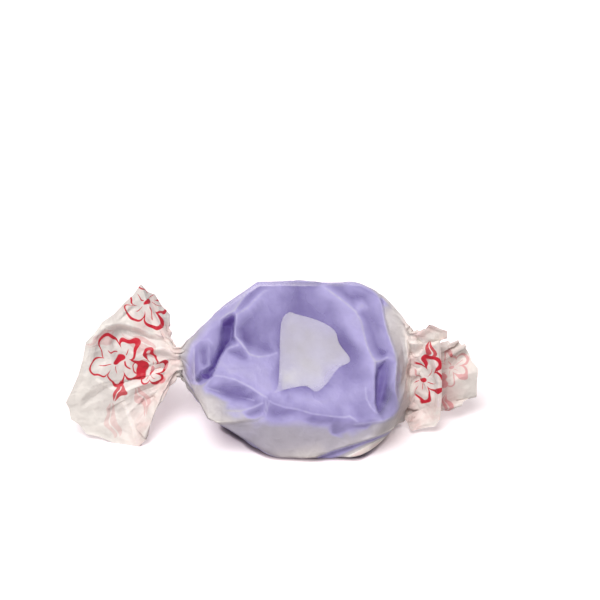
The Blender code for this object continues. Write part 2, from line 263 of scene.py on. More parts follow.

# Folds of the front. Each place is (right, down, lift, haze): its pixel, how far the paper stands off
# its smooth form there, in millimetres before RELIEF, and how milky it looks, from 0 where it clings
# to the taffy. The haze also paints the front's light and shade: it is low, so dark purple, in
# shaded pockets and along the shadow line under the flap's crease, and higher on lit facets. The
# surface bends sharply along the crisp folds, and softly round the other places.
CRISP_FOLDS = {
    "top_edge": [
        (257, 282, 0, 0.45), (285, 278, 0, 0.24), (325, 278, 0, 0.22), (361, 283, 0, 0.4),
        (375, 289, 0, 0.4),
    ],
    "strip_outer": [
        (257, 282, 0, 0.45), (250, 289, 0.08, 0.45), (243, 298, 0.12, 0.45), (234.5, 310.5, 0.25, 0.48),
    ],
    "strip_valley": [
        (268, 285.5, -0.05, 0.3), (257, 288.5, -0.12, 0.16), (250, 295.5, -0.15, 0.14),
        (243.5, 303.5, -0.12, 0.16), (238.5, 310, 0, 0.25),
    ],
    "strip_ridge": [
        (279, 287, 0, 0.33), (264, 291.5, 0.12, 0.4), (255, 299.5, 0.2, 0.42), (248, 307, 0.3, 0.42),
        (236.5, 314.5, 0.45, 0.42),
    ],
    "recess_top": [
        (220.5, 319.5, 0.1, 0.42), (228, 314, 0.22, 0.46), (234.5, 310.5, 0.25, 0.48),
    ],
    "recess_rim": [
        (232.5, 317.5, -0.4, 0.03), (225, 321.5, -0.35, 0.03), (223, 330, -0.35, 0.03),
        (222.5, 339, -0.35, 0.03), (220, 350, -0.35, 0.03), (214.8, 364, -0.4, 0.02),
    ],
    "recess_left": [
        (220.5, 319.5, 0.1, 0.42), (219.8, 330, 0, 0.22), (219.3, 339, 0, 0.2), (216.8, 350, 0, 0.18),
        (212, 363, -0.1, 0.08),
    ],
    "recess_right": [
        (236.5, 314.5, 0.45, 0.42), (235.2, 326, 0.5, 0.3), (234.5, 336, 0.5, 0.36),
    ],
    "recess_floor": [
        (233, 320.5, -0.7, 0.02), (232.3, 330, -0.85, 0.02), (231.5, 338, -0.95, 0.02),
        (226.5, 344.5, -0.95, 0), (222.4, 352, -0.9, 0), (218.6, 359, -0.9, 0),
        (215.4, 366.5, -0.8, 0),
    ],
    "sliver": [
        (234.5, 336, 0.5, 0.36), (241, 342.5, 0.5, 0.46), (249, 354, 0.38, 0.4),
    ],
    "pocket_top": [
        (226, 350, 0.45, 0.38), (230, 347, 0.4, 0.4), (237.5, 344.8, 0.3, 0.4),
    ],
    "shelf_edge": [
        (226, 350, 0.45, 0.38), (221, 357, 0.5, 0.4), (217, 366, 0.5, 0.42), (213.5, 375.5, 0.5, 0.28),
        (202, 386, 0.35, 0.6), (186, 387, 0.25, 0.85),
    ],
    "shelf_top": [
        (249, 354, 0.38, 0.4), (258, 357, 0.32, 0.38), (268, 356, 0.25, 0.36), (277, 353, 0.15, 0.3),
    ],
    "shelf_crease": [
        (213.5, 375.5, 0.5, 0.28), (223.5, 376.5, 0.55, 0.3), (234, 379, 0.6, 0.32),
        (242.5, 383, 0.6, 0.36), (251, 387.5, 0.6, 0.36), (262, 395, 0.6, 0.4), (267, 397.5, 0.52, 0.28),
    ],
    "flap_fold_and_shadow": [
        (208, 388, 0.3, 0.22), (220, 392, 0.1, 0.04), (232, 395.5, 0, 0), (244, 398, 0.05, 0),
        (254, 400.5, 0.28, 0.2),
    ],
    "flap_arc": [
        (226, 410.5, 0.5, 0.6), (240, 411, 0.5, 0.55), (253, 407.5, 0.5, 0.28),
        (262.5, 403, 0.52, 0.26),
    ],
    "flap_edge": [
        (184, 389, 0.25, 0.9), (189, 395.5, 0.3, 0.95), (200, 408, 0.4, 0.97), (204, 417, 0.45, 1),
        (209.5, 422.2, 0.5, 1), (222.4, 422.2, 0.5, 0.94), (234, 421.8, 0.5, 0.85),
        (246.5, 419.8, 0.42, 0.72), (255.6, 419.5, 0.32, 0.5), (262, 416, 0.3, 0.36),
        (265, 409.5, 0.36, 0.26), (267, 397.5, 0.52, 0.28),
    ],
    "flap_foot": [
        (211, 424.2, 0, 0.66), (222.4, 424.2, 0, 0.66), (234, 423.8, 0, 0.66), (246.8, 421.8, 0.05, 0.66),
        (256.2, 421.5, 0.1, 0.54), (264.5, 417.3, 0.12, 0.4), (267, 410, 0.24, 0.24),
        (268.8, 400.5, 0.38, 0.22),
    ],
    "face_foot": [
        (268.8, 400.5, 0.38, 0.22), (275, 404, 0.35, 0.2), (286, 407.7, 0.35, 0.24),
        (297.6, 409.5, 0.35, 0.24), (312.8, 414, 0.35, 0.22), (336, 417, 0.3, 0.22),
        (346, 417, 0.3, 0.3),
    ],
    "patch_edge": [
        (346, 417, 0.3, 0.3), (349.5, 416, 0.4, 0.34), (357.4, 421.5, 0.35, 0.34),
    ],
    "cheek_crease": [
        (354.8, 424.7, 0.3, 0.3), (371.7, 422.5, 0.35, 0.26), (384.2, 420.8, 0.35, 0.4),
        (393, 416.6, 0.3, 0.45), (401.2, 409.5, 0.2, 0.56),
    ],
    "layer_edge": [
        (283, 459.2, 0, 0.9), (300, 458.3, 0.3, 0.97), (315.5, 457, 0.5, 0.97),
        (330.6, 451, 0.6, 0.72), (353, 444, 0.75, 0.8), (375.3, 437, 0.75, 0.86), (389.6, 430.6, 0.7, 0.92),
        (404.8, 421, 0.5, 0.97),
    ],
    "layer_foot": [
        (300, 459.6, 0, 0.2), (315.5, 458.6, 0, 0.1), (331.3, 452.7, 0, 0.05), (353.8, 445.7, 0, 0.05),
        (376, 438.7, 0, 0.1), (390.3, 432.3, 0, 0.4), (405.4, 422.7, 0.1, 0.8),
    ],
    "sliver_foot": [
        (318, 461.2, 0, 0.5), (335, 458, 0, 0.6), (355, 450.6, 0, 0.9), (372, 443.2, 0.05, 0.95),
        (388, 435.6, 0.1, 0.9),
    ],
    "sliver_edge": [
        (322, 463, 0, 0.85), (338, 460.3, 0.1, 0.9), (357, 453, 0.2, 1), (374, 445.6, 0.3, 1),
        (390, 437.8, 0.3, 0.97),
    ],
    "band_edge": [
        (322, 286, 0.05, 0.38), (334, 294, 0.2, 0.42), (346, 303, 0.3, 0.43), (356, 311.8, 0.3, 0.42),
    ],
    "cheek_ridge": [
        (356, 311.8, 0.3, 0.42), (361.5, 322, 0.28, 0.42), (364, 334, 0.32, 0.42),
        (367.5, 347, 0.38, 0.43), (372, 356.5, 0.42, 0.45), (375.5, 362, 0.48, 0.48),
    ],
    "cheek_tip": [
        (375.5, 362, 0.48, 0.48), (381, 361, 0.45, 0.46), (387.2, 357.4, 0.35, 0.4),
    ],
    "slot_left": [
        (375.5, 362, 0.48, 0.48), (374.5, 377, 0.4, 0.34), (374.5, 392, 0.35, 0.32),
        (374, 404, 0.32, 0.34), (377, 413, 0.25, 0.3),
    ],
    "slot_floor": [
        (383.5, 363.5, -0.3, 0.08), (379.3, 369, -0.6, 0), (377.4, 377, -0.75, 0),
        (376.9, 390, -0.75, 0), (376.9, 402, -0.6, 0), (378.8, 410.5, -0.25, 0.05),
    ],
    "cheek_line": [
        (365.5, 388, 0.22, 0.36), (366.5, 399, 0.28, 0.28), (371, 407.5, 0.28, 0.28),
        (377, 413, 0.25, 0.3),
    ],
    "cheek_back": [
        (375, 289, 0, 0.4), (378, 294.4, 0.15, 0.4), (382.2, 305.2, 0.22, 0.38),
        (383.9, 318.4, 0.25, 0.34), (388, 333.4, 0.28, 0.42), (393, 346.6, 0.3, 0.42),
        (396.3, 355.8, 0.3, 0.46), (397.2, 361.6, 0.3, 0.46), (396.3, 374.8, 0.28, 0.46),
        (395.5, 391, 0.25, 0.42), (399, 401, 0.2, 0.5),
    ],
    "shoulder_front": [
        (379.8, 294, -0.2, 0.45), (382.9, 301, -0.35, 0.3), (384.6, 309, -0.15, 0.7),
        (386, 318, -0.05, 0.85), (390.3, 333, 0, 0.86), (395.4, 346, 0, 0.82), (398.8, 356, 0, 0.78),
        (399.8, 362, -0.3, 0.74), (399.5, 375, -0.8, 0.5), (398, 390, -0.9, 0.5),
    ],
    "shoulder_valley": [
        (399, 334, -0.2, 0.9), (402.5, 346, -0.4, 0.76), (404, 360, -0.6, 0.7), (405, 374, -0.7, 0.7),
    ],
    "shoulder_ridge": [
        (406, 336, 0.1, 0.95), (407.5, 346, 0.2, 0.97), (408.5, 360, 0.2, 0.97), (408, 384, 0.1, 0.95),
    ],
    "shoulder_rim": [
        (187, 356, 0.04, 0.4), (192, 347, 0.05, 0.4), (200, 340.5, 0.07, 0.38),
        (208, 338.8, 0.09, 0.38), (212.5, 343.5, 0.06, 0.3),
    ],
    "left_pleat": [
        (198, 350, 0.04, 0.26), (199, 362, 0.06, 0.28), (199.5, 371, 0.06, 0.28),
        (193.5, 378.5, 0.1, 0.24),
    ],
    "right_pleat": [
        (208.8, 344, 0.06, 0.28), (209.6, 355, 0.08, 0.26), (209.6, 365.5, 0.1, 0.3),
        (203, 369.3, 0.08, 0.3),
    ],
    "fan_ridge": [
        (180, 346, 0.2, 0.95), (170, 338.5, 0.4, 0.95), (158, 335, 0.55, 0.95), (150, 333.5, 0.6, 0.95),
        (140, 329, 0.65, 0.95), (128, 325, 0.65, 0.95), (118, 323.5, 0.6, 0.95), (106, 326, 0.5, 0.95),
        (97, 334, 0.45, 0.95), (91, 345, 0.4, 0.95), (87, 360, 0.3, 0.95), (85, 375, 0.2, 0.95),
    ],
    "fan_hollow": [
        (172, 343, -0.1, 0.9), (158, 339.5, -0.4, 0.88), (149.5, 338, -0.6, 0.86),
        (139, 334, -0.7, 0.85), (127.5, 330.5, -0.7, 0.85), (118, 329.5, -0.7, 0.85),
        (108.5, 332.5, -0.6, 0.85), (102, 340, -0.5, 0.86), (97, 350, -0.4, 0.88),
        (93.5, 362, -0.3, 0.9),
    ],
    "fan_lobe_crease": [
        (158, 316, 0.35, 0.95), (160, 325, 0.38, 0.95), (161, 332.5, 0.45, 0.95),
    ],
    "fan_facet_top": [
        (120.3, 393, 0.45, 0.9), (130, 387.5, 0.45, 0.9), (140, 382.3, 0.45, 0.9),
        (155, 382.5, 0.35, 0.9), (167.3, 384, 0.2, 0.9),
    ],
    "fan_facet_side": [
        (120.3, 393, 0.45, 0.9), (126, 408, 0.45, 0.9), (132, 424, 0.35, 0.92), (137, 443, 0.15, 0.95),
    ],
    "fan_crease": [
        (97, 379, 0.25, 0.9), (108, 386, 0.35, 0.9), (120.3, 393, 0.45, 0.9),
    ],
    "fan_gather_1": [
        (178, 352, 0.3, 0.9), (163, 347.5, 0.35, 0.9), (150, 350, 0.3, 0.9), (138, 357, 0.2, 0.9),
    ],
    "fan_gather_2": [
        (178, 358, 0.3, 0.9), (162, 360, 0.35, 0.9), (148, 365, 0.25, 0.9),
    ],
    "fan_gather_3": [
        (178, 366, 0.3, 0.9), (163, 371, 0.35, 0.9), (150, 375, 0.2, 0.9),
    ],
    "pillar_edge": [
        (417, 331, 0.2, 0.95), (421, 338, 0.35, 0.95), (427, 348, 0.4, 0.95), (433, 358, 0.45, 0.95),
        (436.5, 372, 0.45, 0.95), (437.5, 390, 0.45, 0.95), (438, 408, 0.4, 0.95),
    ],
    "pillar_fold": [
        (415, 336, -0.1, 0.9), (418, 342, -0.1, 0.9), (423.5, 352, -0.15, 0.88),
        (429.5, 362, -0.2, 0.88), (433, 375, -0.2, 0.88), (434.3, 391, -0.15, 0.9),
        (434.8, 408, 0, 0.92),
    ],
}
SOFT_PLACES = {
    "outline": [
        (176, 371, 0, 0.95), (178, 386, 0, 0.95), (184, 344, 0, 0.9), (192, 337, 0, 0.8),
        (200, 330, 0, 0.6), (208, 319, 0, 0.55), (220, 304, 0, 0.5), (229, 298, 0, 0.5),
        (242, 289, 0, 0.55), (395, 310, 0, 0.95), (407, 326, 0, 0.95), (196, 413, 0, 1),
        (204, 426, 0, 0.7), (240, 442, -0.5, 0.64), (255, 452, -0.5, 0.68), (270, 460, -0.4, 0.68),
        (290, 466, 0, 0.5), (345, 466, 0.5, 0.95), (380, 452, 0.9, 1), (410, 434, 0.6, 1),
    ],
    "pocket": [
        (233, 352, 0.1, 0.12), (240, 353, -0.1, 0.04), (244.5, 357.5, 0, 0.1), (228, 354, 0.42, 0.38),
        (236, 359, 0.4, 0.38), (243, 362, 0.38, 0.38), (249, 360, 0.36, 0.36),
    ],
    "left_shoulder": [
        (192, 362, 0, 0.22), (193, 372, 0, 0.16), (203.5, 352, 0, 0.08), (204.5, 362, 0, 0.04),
        (215, 351, -0.05, 0.16), (212.5, 357, -0.05, 0.14), (204, 376, -0.8, 0),
        (209.5, 372.5, -0.95, 0), (211.3, 376, -0.7, 0), (199, 380, -0.5, 0),
        (206, 334, 0, 0.4), (212, 330, 0.05, 0.34), (218, 322, 0.08, 0.36), (222, 311, 0, 0.4),
        (229, 306, 0.05, 0.44), (216, 338, 0, 0.28), (185, 362, 0, 0.4), (185, 375, -0.2, 0.34),
        (192, 383, -0.3, 0.46),
    ],
    "upper_left": [
        (243, 330, 0.2, 0.02), (245, 340, 0.2, 0), (256, 345, 0.12, 0.1), (262, 325, 0.08, 0.2),
        (270, 338, 0, 0.2), (250, 320, 0.25, 0.12), (262, 305, 0.15, 0.24), (275, 298, 0.05, 0.3),
        (280, 315, 0, 0.2), (270, 288.5, 0.02, 0.42), (268, 349, 0.05, 0.06),
    ],
    "shelf": [
        (222, 364, 0.5, 0.45), (240, 369, 0.52, 0.44), (258, 364, 0.4, 0.44), (258, 381, 0.55, 0.44),
        (275, 362, 0.25, 0.35), (272, 390, 0.55, 0.44), (230, 372, 0.52, 0.46),
    ],
    "flap": [
        (225, 383, 0.42, 0.2), (240, 388, 0.34, 0.05), (253, 394, 0.4, 0.16), (215, 383, 0.4, 0.34),
        (200, 389, 0.35, 0.75), (192, 394, 0.35, 0.88), (203, 397, 0.35, 0.86), (214, 399, 0.33, 0.84),
        (206, 408, 0.42, 0.9), (213, 415, 0.47, 0.92), (224, 403, 0.38, 0.7), (233, 401, 0.34, 0.3),
        (245, 402, 0.36, 0.3), (256, 402.5, 0.42, 0.16), (222, 415, 0.46, 0.82), (235, 416, 0.45, 0.5),
        (248, 414.5, 0.45, 0.16), (258, 411.5, 0.42, 0.14),
    ],
    "front_wall": [
        (290, 413, -0.05, 0.16), (312, 419, -0.12, 0.12), (328, 422, -0.1, 0.24), (300, 420, -0.22, 0.46),
        (256, 430, -0.1, 0.64), (262, 440, -0.35, 0.66), (275, 415, -0.1, 0.13), (268, 428, 0.05, 0.66),
        (290, 428, -0.12, 0.66), (300, 445, 0, 0.72), (320, 440, 0.02, 0.7), (345, 440, 0.2, 0.7),
        (370, 434, 0.2, 0.68), (272, 450, -0.1, 0.7), (313, 428, -0.1, 0.62),
    ],
    "clinging": [
        (333, 422.5, 0.1, 0.28), (343, 425, 0.1, 0.34), (352, 428, 0.1, 0.38), (366, 427.5, 0.1, 0.32),
        (333.5, 433.3, 0, 0.22), (343, 431.8, 0, 0.34), (327, 429, 0.1, 0.62), (331, 436, 0.1, 0.68),
        (345, 434.5, 0.1, 0.64), (367, 430.5, 0.15, 0.66),
    ],
    "right_cheek": [
        (386, 370, -0.4, 0.06), (385.5, 384, -0.42, 0.02), (384, 398, -0.38, 0.02),
        (388.5, 408, -0.1, 0.28), (392.5, 372, -0.05, 0.3), (391.5, 392, -0.1, 0.18),
        (384, 353, -0.25, 0.05), (378, 347, -0.1, 0.14), (374.5, 337, -0.1, 0.16),
        (370, 326, -0.05, 0.18), (386, 340, 0.05, 0.28), (390, 350, 0.05, 0.28), (394, 403, 0.1, 0.35),
        (366, 378, 0.2, 0.26), (370, 395, 0.33, 0.28), (368, 412, 0.3, 0.22), (376, 418, 0.32, 0.36),
        (361, 416, 0.28, 0.18), (372, 424.8, 0.1, 0.64), (385, 423.5, 0.15, 0.76),
        (396, 419.5, 0.25, 0.92), (402, 405, 0.1, 0.7),
    ],
    "top_right": [
        (318, 300, 0.05, 0.2), (330, 302, 0.1, 0.22), (342, 313, 0.2, 0.34), (350, 326, 0.22, 0.4),
        (356, 340, 0.2, 0.36), (333, 318, 0.03, 0.16), (343, 333, 0, 0.12), (350, 345, 0, 0.08),
        (355.5, 357, 0, 0.1), (340, 290, 0.05, 0.18), (352, 298, 0.05, 0.1), (363, 297, 0.08, 0.16),
        (370, 308, 0.12, 0.24), (363, 305.5, 0.22, 0.52), (363, 313.5, 0.05, 0.16),
        (376, 322, 0.05, 0.16), (380, 335, 0.05, 0.22), (362, 354, 0.15, 0.2), (312, 291, 0.05, 0.16),
    ],
    "face": [
        (279.5, 366, 0.18, 0.12), (282, 350, 0.08, 0.08), (284, 388, 0.2, 0.1), (304, 387, 0.15, 0.1),
        (300, 290, 0, 0.08), (298, 303, 0.02, 0.1), (315, 308, 0.02, 0.14), (290, 322, 0, 0.07),
        (300, 335, 0, 0.05), (318, 334, 0, 0.06), (330, 345, 0, 0.05), (342, 360, 0, 0.08),
        (320, 362, 0, 0.04), (300, 365, 0, 0.04), (285, 380, 0.1, 0.03), (320, 383, 0.05, 0.08),
        (292, 393, 0.25, 0.3), (335, 388, 0.15, 0.34), (348, 378, 0.1, 0.16), (360, 370, 0.1, 0.2),
        (300, 398, 0.3, 0.44), (325, 402, 0.3, 0.44), (345, 396, 0.2, 0.34), (356, 406, 0.25, 0.2),
        (283, 396, 0.4, 0.36), (268, 376, 0.42, 0.44),
    ],
    "left_twist": [
        (172, 328, 0, 0.95), (166, 305, 0, 0.9), (151, 282, 0, 0.9), (135, 282, 0, 0.9),
        (117, 299, 0, 0.9), (97, 317, 0, 0.9), (80, 342, 0, 0.95), (72, 377, 0, 0.95),
        (60, 403, 0, 0.95), (65, 424, 0, 0.95), (84, 440, 0, 0.95), (111, 448, 0, 0.95),
        (137, 452, 0, 0.95), (152, 440, 0, 0.95), (160, 411, 0, 0.95), (171, 390, 0, 0.95),
        (145, 300, 0.25, 0.9), (128, 310, 0.2, 0.9), (148, 320, 0.3, 0.92), (168, 322, 0, 0.9),
        (110, 318, 0.3, 0.9), (118, 345, -0.5, 0.85), (133, 345, -0.45, 0.85), (110, 356, -0.3, 0.86),
        (125, 362, -0.2, 0.86), (105, 370, 0, 0.88), (118, 380, 0.1, 0.88), (135, 371, -0.1, 0.86),
        (90, 390, 0.15, 0.95), (80, 400, 0.1, 0.95), (100, 398, 0.1, 0.9), (113, 405, -0.05, 0.88),
        (117, 425, -0.1, 0.9), (95, 425, 0.05, 0.95), (145, 400, 0.15, 0.88), (148, 415, 0.1, 0.88),
        (155, 392, 0.15, 0.88), (160, 343, -0.1, 0.88), (165, 354, -0.15, 0.85),
        (152, 356.5, -0.2, 0.85), (166, 365.5, -0.15, 0.85), (151, 370, -0.15, 0.85),
        (168, 377, -0.05, 0.85), (142, 376, 0.05, 0.87),
    ],
    "right_twist": [
        (425, 318, 0, 0.95), (450, 325, 0, 0.95), (446, 350, 0, 0.95), (446, 400, 0, 0.95),
        (442, 430, 0, 0.95), (410, 436, 0, 0.95), (403, 421, 0, 0.95), (410, 345, 0.1, 0.9),
        (415, 365, 0.1, 0.9), (420, 390, 0.15, 0.9), (412, 405, 0.1, 0.9), (425, 420, 0.2, 0.95),
        (439, 350, 0.5, 0.95), (440.5, 380, 0.5, 0.95), (430, 335, 0.3, 0.95), (440, 330, 0.2, 0.95),
    ],
}
RELIEF = 1.1

# How many pixels a crisp fold's sharpness and its milky line, which is also a painted highlight,
# reach, and the lift from which on that line is full
CRISP_WIDTH = 3.0
CREASE_WIDTH = 0.9
CREASE_LIFT = 0.16

# How often the soft folds, and the change from front to back, are evened out; and how far the paper
# faces the viewer where the front's folds are full
SMOOTHING = 4
FRONT_BLEND = 2
FRONT_EDGE = 0.12

# Pleats gathered at the necks: how many, how high, how far they run out, and how much they turn for
# each millimetre. Each is out of its place by up to a share of its width, and the lowest is a share of
# the highest.
COARSE_PLEATS = 12
FINE_PLEATS = 28
COARSE_HEIGHT = 0.24
FINE_HEIGHT = 0.10
FADE_ON_BODY = 2.4
FADE_ON_BACK = 5.5
FADE_ON_FAN = 4.2
TWIST = 0.012
PLEAT_SHIFT = 0.3
LOWEST_PLEAT = 0.5

# Random crumples of the sheet, which is this far round and stays flat past this margin at its ends.
# Those of the back are lower on the twists.
SHEET_ROUND = 60.0
SHEET_MARGIN = 20
BACK_FACETS = Facets(4.5, 0.5, SEED)
BACK_CREASES = Facets(2.0, 0.14, SEED + 3)
FRONT_FACETS = Facets(3.5, 0.08, SEED + 6)
FAN_FACETS = Facets(2.2, 0.45, SEED + 8)
BACK_ON_TWIST = 0.4

# How far from the middle the body passes into the twists, and the taffy behind the back's paper ends
# at the right
BODY_FADE = (14.0, 16.5)
TAFFY_FADE = (10.0, 13.0)

# Milkiness of the back: its mean, what the height of a crumple and of the lapped edge adds, and what
# it is where no taffy lies behind. On the twists this share of what is still clear turns milky.
BACK_HAZE = 0.34
CRUMPLE_HAZE = 0.7
SEAM_HAZE = 0.5
BARE_HAZE = 0.95
TWIST_HAZE = 0.8

# The edge where the paper laps over itself along the back: where it runs round the section, how high
# it is, how far it slopes away, and how it wanders
SEAM_TURN = 0.80
SEAM_HEIGHT = 0.5
SEAM_REACH = 5.0
SEAM_WANDER = 0.012
SEAM_WAVE = 3.1

# The red print
FLOWERS = [
    Flower(119, 361, False, 3.9, 0.4, 5, 1.0),
    Flower(150, 302, False, 3.3, 1.3, 5, 1.0),
    Flower(152, 370, False, 2.5, 0.9, 5, 1.0),
    Flower(423, 380, False, 3.5, 0.2, 5, 1.0),
    Flower(452, 369, True, 2.4, 0.6, 5, 0.75),
]
LEAVES = [
    Leaf(104, 338, False, 2.6, 0.5, 0.25),
    Leaf(140, 343, False, 2.8, 2.6, 0.3),
    Leaf(120, 394, False, 2.0, 1.2, 0.9),
    Leaf(114, 421, False, 2.6, 1.8, 0.22),
    Leaf(143, 402, False, 2.4, 1.9, 0.3),
    Leaf(429, 348, False, 1.6, 1.2, 0.9),
    Leaf(446, 402, True, 1.6, 1.5, 0.9),
]
PRINT_RED = (0.58, 0.02, 0.04)
PRINT_PALE = (0.72, 0.30, 0.31)

# How many pixels round its own a motif's place is looked for, and how far from the middle the print
# starts, with a soft edge
SPOT_REACH = 2.0
PRINT_START = 16.8
PRINT_EDGE = 0.6

# The print strays from its place: how fine the waves are, and how far they reach
PRINT_WAVES = 0.5
PRINT_DRIFT = 2.0

# A flower, in shares of its size: its petals, the pen that draws them, its veins and its heart. An edge
# is the two values between which the ink fades in.
PETAL_START = 0.45
PETAL_LENGTH = 0.52
PETAL_ROUNDNESS = 0.7
PEN_WIDTH = 0.085
PEN_SWING = 0.045
PEN_TURN = 0.8
PEN_EDGE = 0.02
VEIN_EDGE = (0.06, 0.03)
VEIN_START = (0.2, 0.26)
VEIN_END = (0.62, 0.5)
HEART_EDGE = (0.17, 0.13)

# A leaf, in shares of its size
LEAF_WIDTH = 0.42
LEAF_EDGE = 0.06
MIDRIB_EDGE = (0.02, 0.07)

# A crumpled surface: how fine its warp and its broad and small facets are, and how much the small ones
# count
WARP_SCALE = 0.8
BROAD_FACETS = 0.6
SMALL_FACETS = 1.7
SMALL_SHARE = 0.35

# Soft clouds: the noise between which they go from none to full, and their size
CLOUD_EDGE = (0.3, 0.7)
CLOUD_SIZE = 3.0

# The paper's colour by its milkiness, from where it clings to the taffy to where it stands free. The
# grey dip between 0.65 and 0.80 is partly painted shade, of the front wall and the hollows behind it
PAPER_TONES_AND_SHADE = [
    (0.00, (0.48, 0.42, 0.82)),
    (0.40, (0.57, 0.505, 0.89)),
    (0.52, (0.55, 0.50, 0.74)),
    (0.65, (0.50, 0.46, 0.54)),
    (0.80, (0.52, 0.47, 0.50)),
    (0.95, (0.60, 0.55, 0.54)),
    (1.00, (0.86, 0.80, 0.74)),
]
PAPER_COLOUR = (0.8, 0.76, 0.78)
PAPER_ROUGHNESS = 0.4
PAPER_GLOSS = 0.25

# What clouds and a crease add to the milkiness, the crease's share being also a painted highlight,
# and how clear the paper is where it isn't milky
CLOUD_MILK = 0.07
CREASE_MILK_AND_HIGHLIGHT = 0.12
CLEAR_POWER = 2.2
CLEAREST = 0.92

# The painted highlight along a crease: its tone, its strength, and the size of its gaps
FOLD_HIGHLIGHT_TONE = (0.80, 0.77, 0.92)
FOLD_GLINT = 0.32
GLINT_SIZE = 0.9

# The paper's finest crumples: their size and warp, the haze from which they grow and are full, their
# share where the paper clings, the painted shade and light they put in its colour, darker where they
# are low and lighter where high, and the strength and depth of their relief
PAPER_CRINKLE = 1.3
PAPER_WARP = 1.4
FREE_HAZE = (0.7, 1.0)
CLINGING_SHARE = 0.6
CRINKLE_PAINTED_SHADE = 0.22
HOLLOW_PAINTED_SHADE = 0.88
PAPER_BUMP = 0.8
PAPER_BUMP_DEPTH = 0.25

# Ink that rubbed off tints the twists: it fades outwards between these places, grows with the haze
# between these values, and is this strong
BLUSH_START = 20.0
BLUSH_END = 27.0
BLUSH_HAZE = (0.95, 1.0)
BLUSH = 0.42

# The taffy: the deep and the light shade of both kinds, how much its clouds and the painted light low
# down count, its gloss, and the size, warp, strength and depth of its finest dents
PURPLE_SHADES = ((0.08, 0.045, 0.22), (0.12, 0.078, 0.29))
WHITE_SHADES = ((0.49, 0.46, 0.48), (0.74, 0.72, 0.73))
CLOUD_SHARE = 0.5
PAINTED_LIGHT_SHARE = 0.5
TAFFY_ROUGHNESS = 0.5
TAFFY_GLOSS = 0.3
TAFFY_CRINKLE = 2.5
TAFFY_WARP = 1.0
TAFFY_BUMP = 0.3
TAFFY_BUMP_DEPTH = 0.1

# Kinds of socket in a shader node group
FLOAT = "NodeSocketFloat"
VECTOR = "NodeSocketVector"


def part_middle():
    """What to take from the maker's frame to reach the part's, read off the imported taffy."""
    low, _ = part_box("taffy")
    return np.array([PACKED_TAFFY_LEFT - low.x / MM, PACKED_TAFFY_FOOT - low.y / MM, 0.0])


MIDDLE = part_middle()
RIGHTWARDS = np.array([1.0, 0.0, 0.0])
FORWARDS = np.array([0.0, math.cos(LOOK_DOWN), -math.sin(LOOK_DOWN)])
UPWARDS = np.array([0.0, math.sin(LOOK_DOWN), math.cos(LOOK_DOWN)])
AIM = MIDDLE + np.array([0.0, 0.0, AIM_HEIGHT])
HALF_FRAME = FRAME_PIXELS / 2
EYE = (
    AIM
    + RIGHTWARDS * (HALF_FRAME - AIM_PIXEL[0]) * PIXEL
    + UPWARDS * (AIM_PIXEL[1] - HALF_FRAME) * PIXEL
    - FORWARDS * CAMERA_AWAY
)


def in_picture(points):
    """The pixels at which points show, right and down."""
    seen = points - EYE
    scale = CAMERA_AWAY / (seen @ FORWARDS) / PIXEL
    right = HALF_FRAME + (seen @ RIGHTWARDS) * scale
    down = HALF_FRAME - (seen @ UPWARDS) * scale
    return np.column_stack([right, down])


def from_picture(right, down, y):
    """The point that shows at this pixel and lies at this Y."""
    ray = (
        FORWARDS * CAMERA_AWAY
        + RIGHTWARDS * (right - HALF_FRAME) * PIXEL
        + UPWARDS * (HALF_FRAME - down) * PIXEL
    )
    return EYE + ray * (y - EYE[1]) / ray[1]


def guide_values(guides, turns):
    """Each value of the guides after their turn, as it is at these turns."""
    places = [guide.turn for guide in guides] + [1.0]
    looped = guides + [guides[0]]
    values = []
    for field in range(1, len(Guide._fields)):
        values.append(np.interp(turns, places, [guide[field] for guide in looped]))
    return values


def end_ring(end, turns):
    """The narrow section at one end of a loft; turn 0 is its top."""
    angle = math.tau * (0.25 + turns)
    y = end.y + end.half_y * np.cos(angle)
    z = end.z + end.half_z * np.sin(angle)
    return np.column_stack([np.full(len(turns), end.x), y, z])


def rounded(ring, reach):
    """A closed ring with each point averaged with its neighbours within reach on both sides."""
    total = sum(np.roll(ring, shift, axis=0) for shift in range(-reach, reach + 1))
    return total / (2 * reach + 1)


def loft_ring(guides, ends, x, turns):
    """The section of a loft at this x."""
    y, z, left, right, left_round, right_round = guide_values(guides, turns)
    end, reach, roundness = (ends[0], left, left_round) if x < 0 else (ends[1], right, right_round)
    target = end_ring(end, turns)
    gone = np.clip((abs(x) - reach) / (abs(end.x) - reach), 0.0, 1.0)
    kept = (1.0 - gone**roundness)[:, None]
    ring = target + (np.column_stack([np.full(len(turns), x), y, z]) - target) * kept
    ring[:, 0] = x
    return ring


def stations(left_x, right_x, count):
    """Places along the twist, closer together near both ends."""
    middle = (left_x + right_x) / 2
    half = (right_x - left_x) / 2
    steps = np.linspace(-1.0, 1.0, count)
    return middle + half * ((1 - ROW_CROWDING) * steps + ROW_CROWDING * np.sin(math.pi / 2 * steps))


def rim_ring(corners, turns):
    """The cut edge of a fan, through its corners and the folds between them."""
    places = np.array([from_picture(corner.right, corner.down, corner.y) for corner in corners])
    middle = places.mean(axis=0)
    ribs = []
    for corner, place, following in zip(corners, places, np.roll(places, -1, axis=0)):
        fold = (place + following) / 2
        inwards = middle - fold
        inwards[0] *= FOLD_ALONG
        ribs += [place, fold + inwards / np.linalg.norm(inwards) * corner.fold]
    ribs = np.array(ribs + [ribs[0]])
    along = turns * 2 * len(corners)
    return np.column_stack([np.interp(along, np.arange(len(ribs)), ribs[:, k]) for k in range(3)])


def fan_rings(neck, corners, outwards, rows, turns):
    """The rows of a fan, from the one after the neck to its cut edge."""
    rim = rim_ring(corners, turns)
    bend = neck + np.array([outwards * FLARE, 0.0, 0.0]) + BEND_PLACE * (rim - neck)
    rings = []
    for t in np.linspace(0.0, 1.0, rows + 1)[1:]:
        rings.append((1 - t) ** 2 * neck + 2 * t * (1 - t) * bend + t**2 * rim)
    return rings


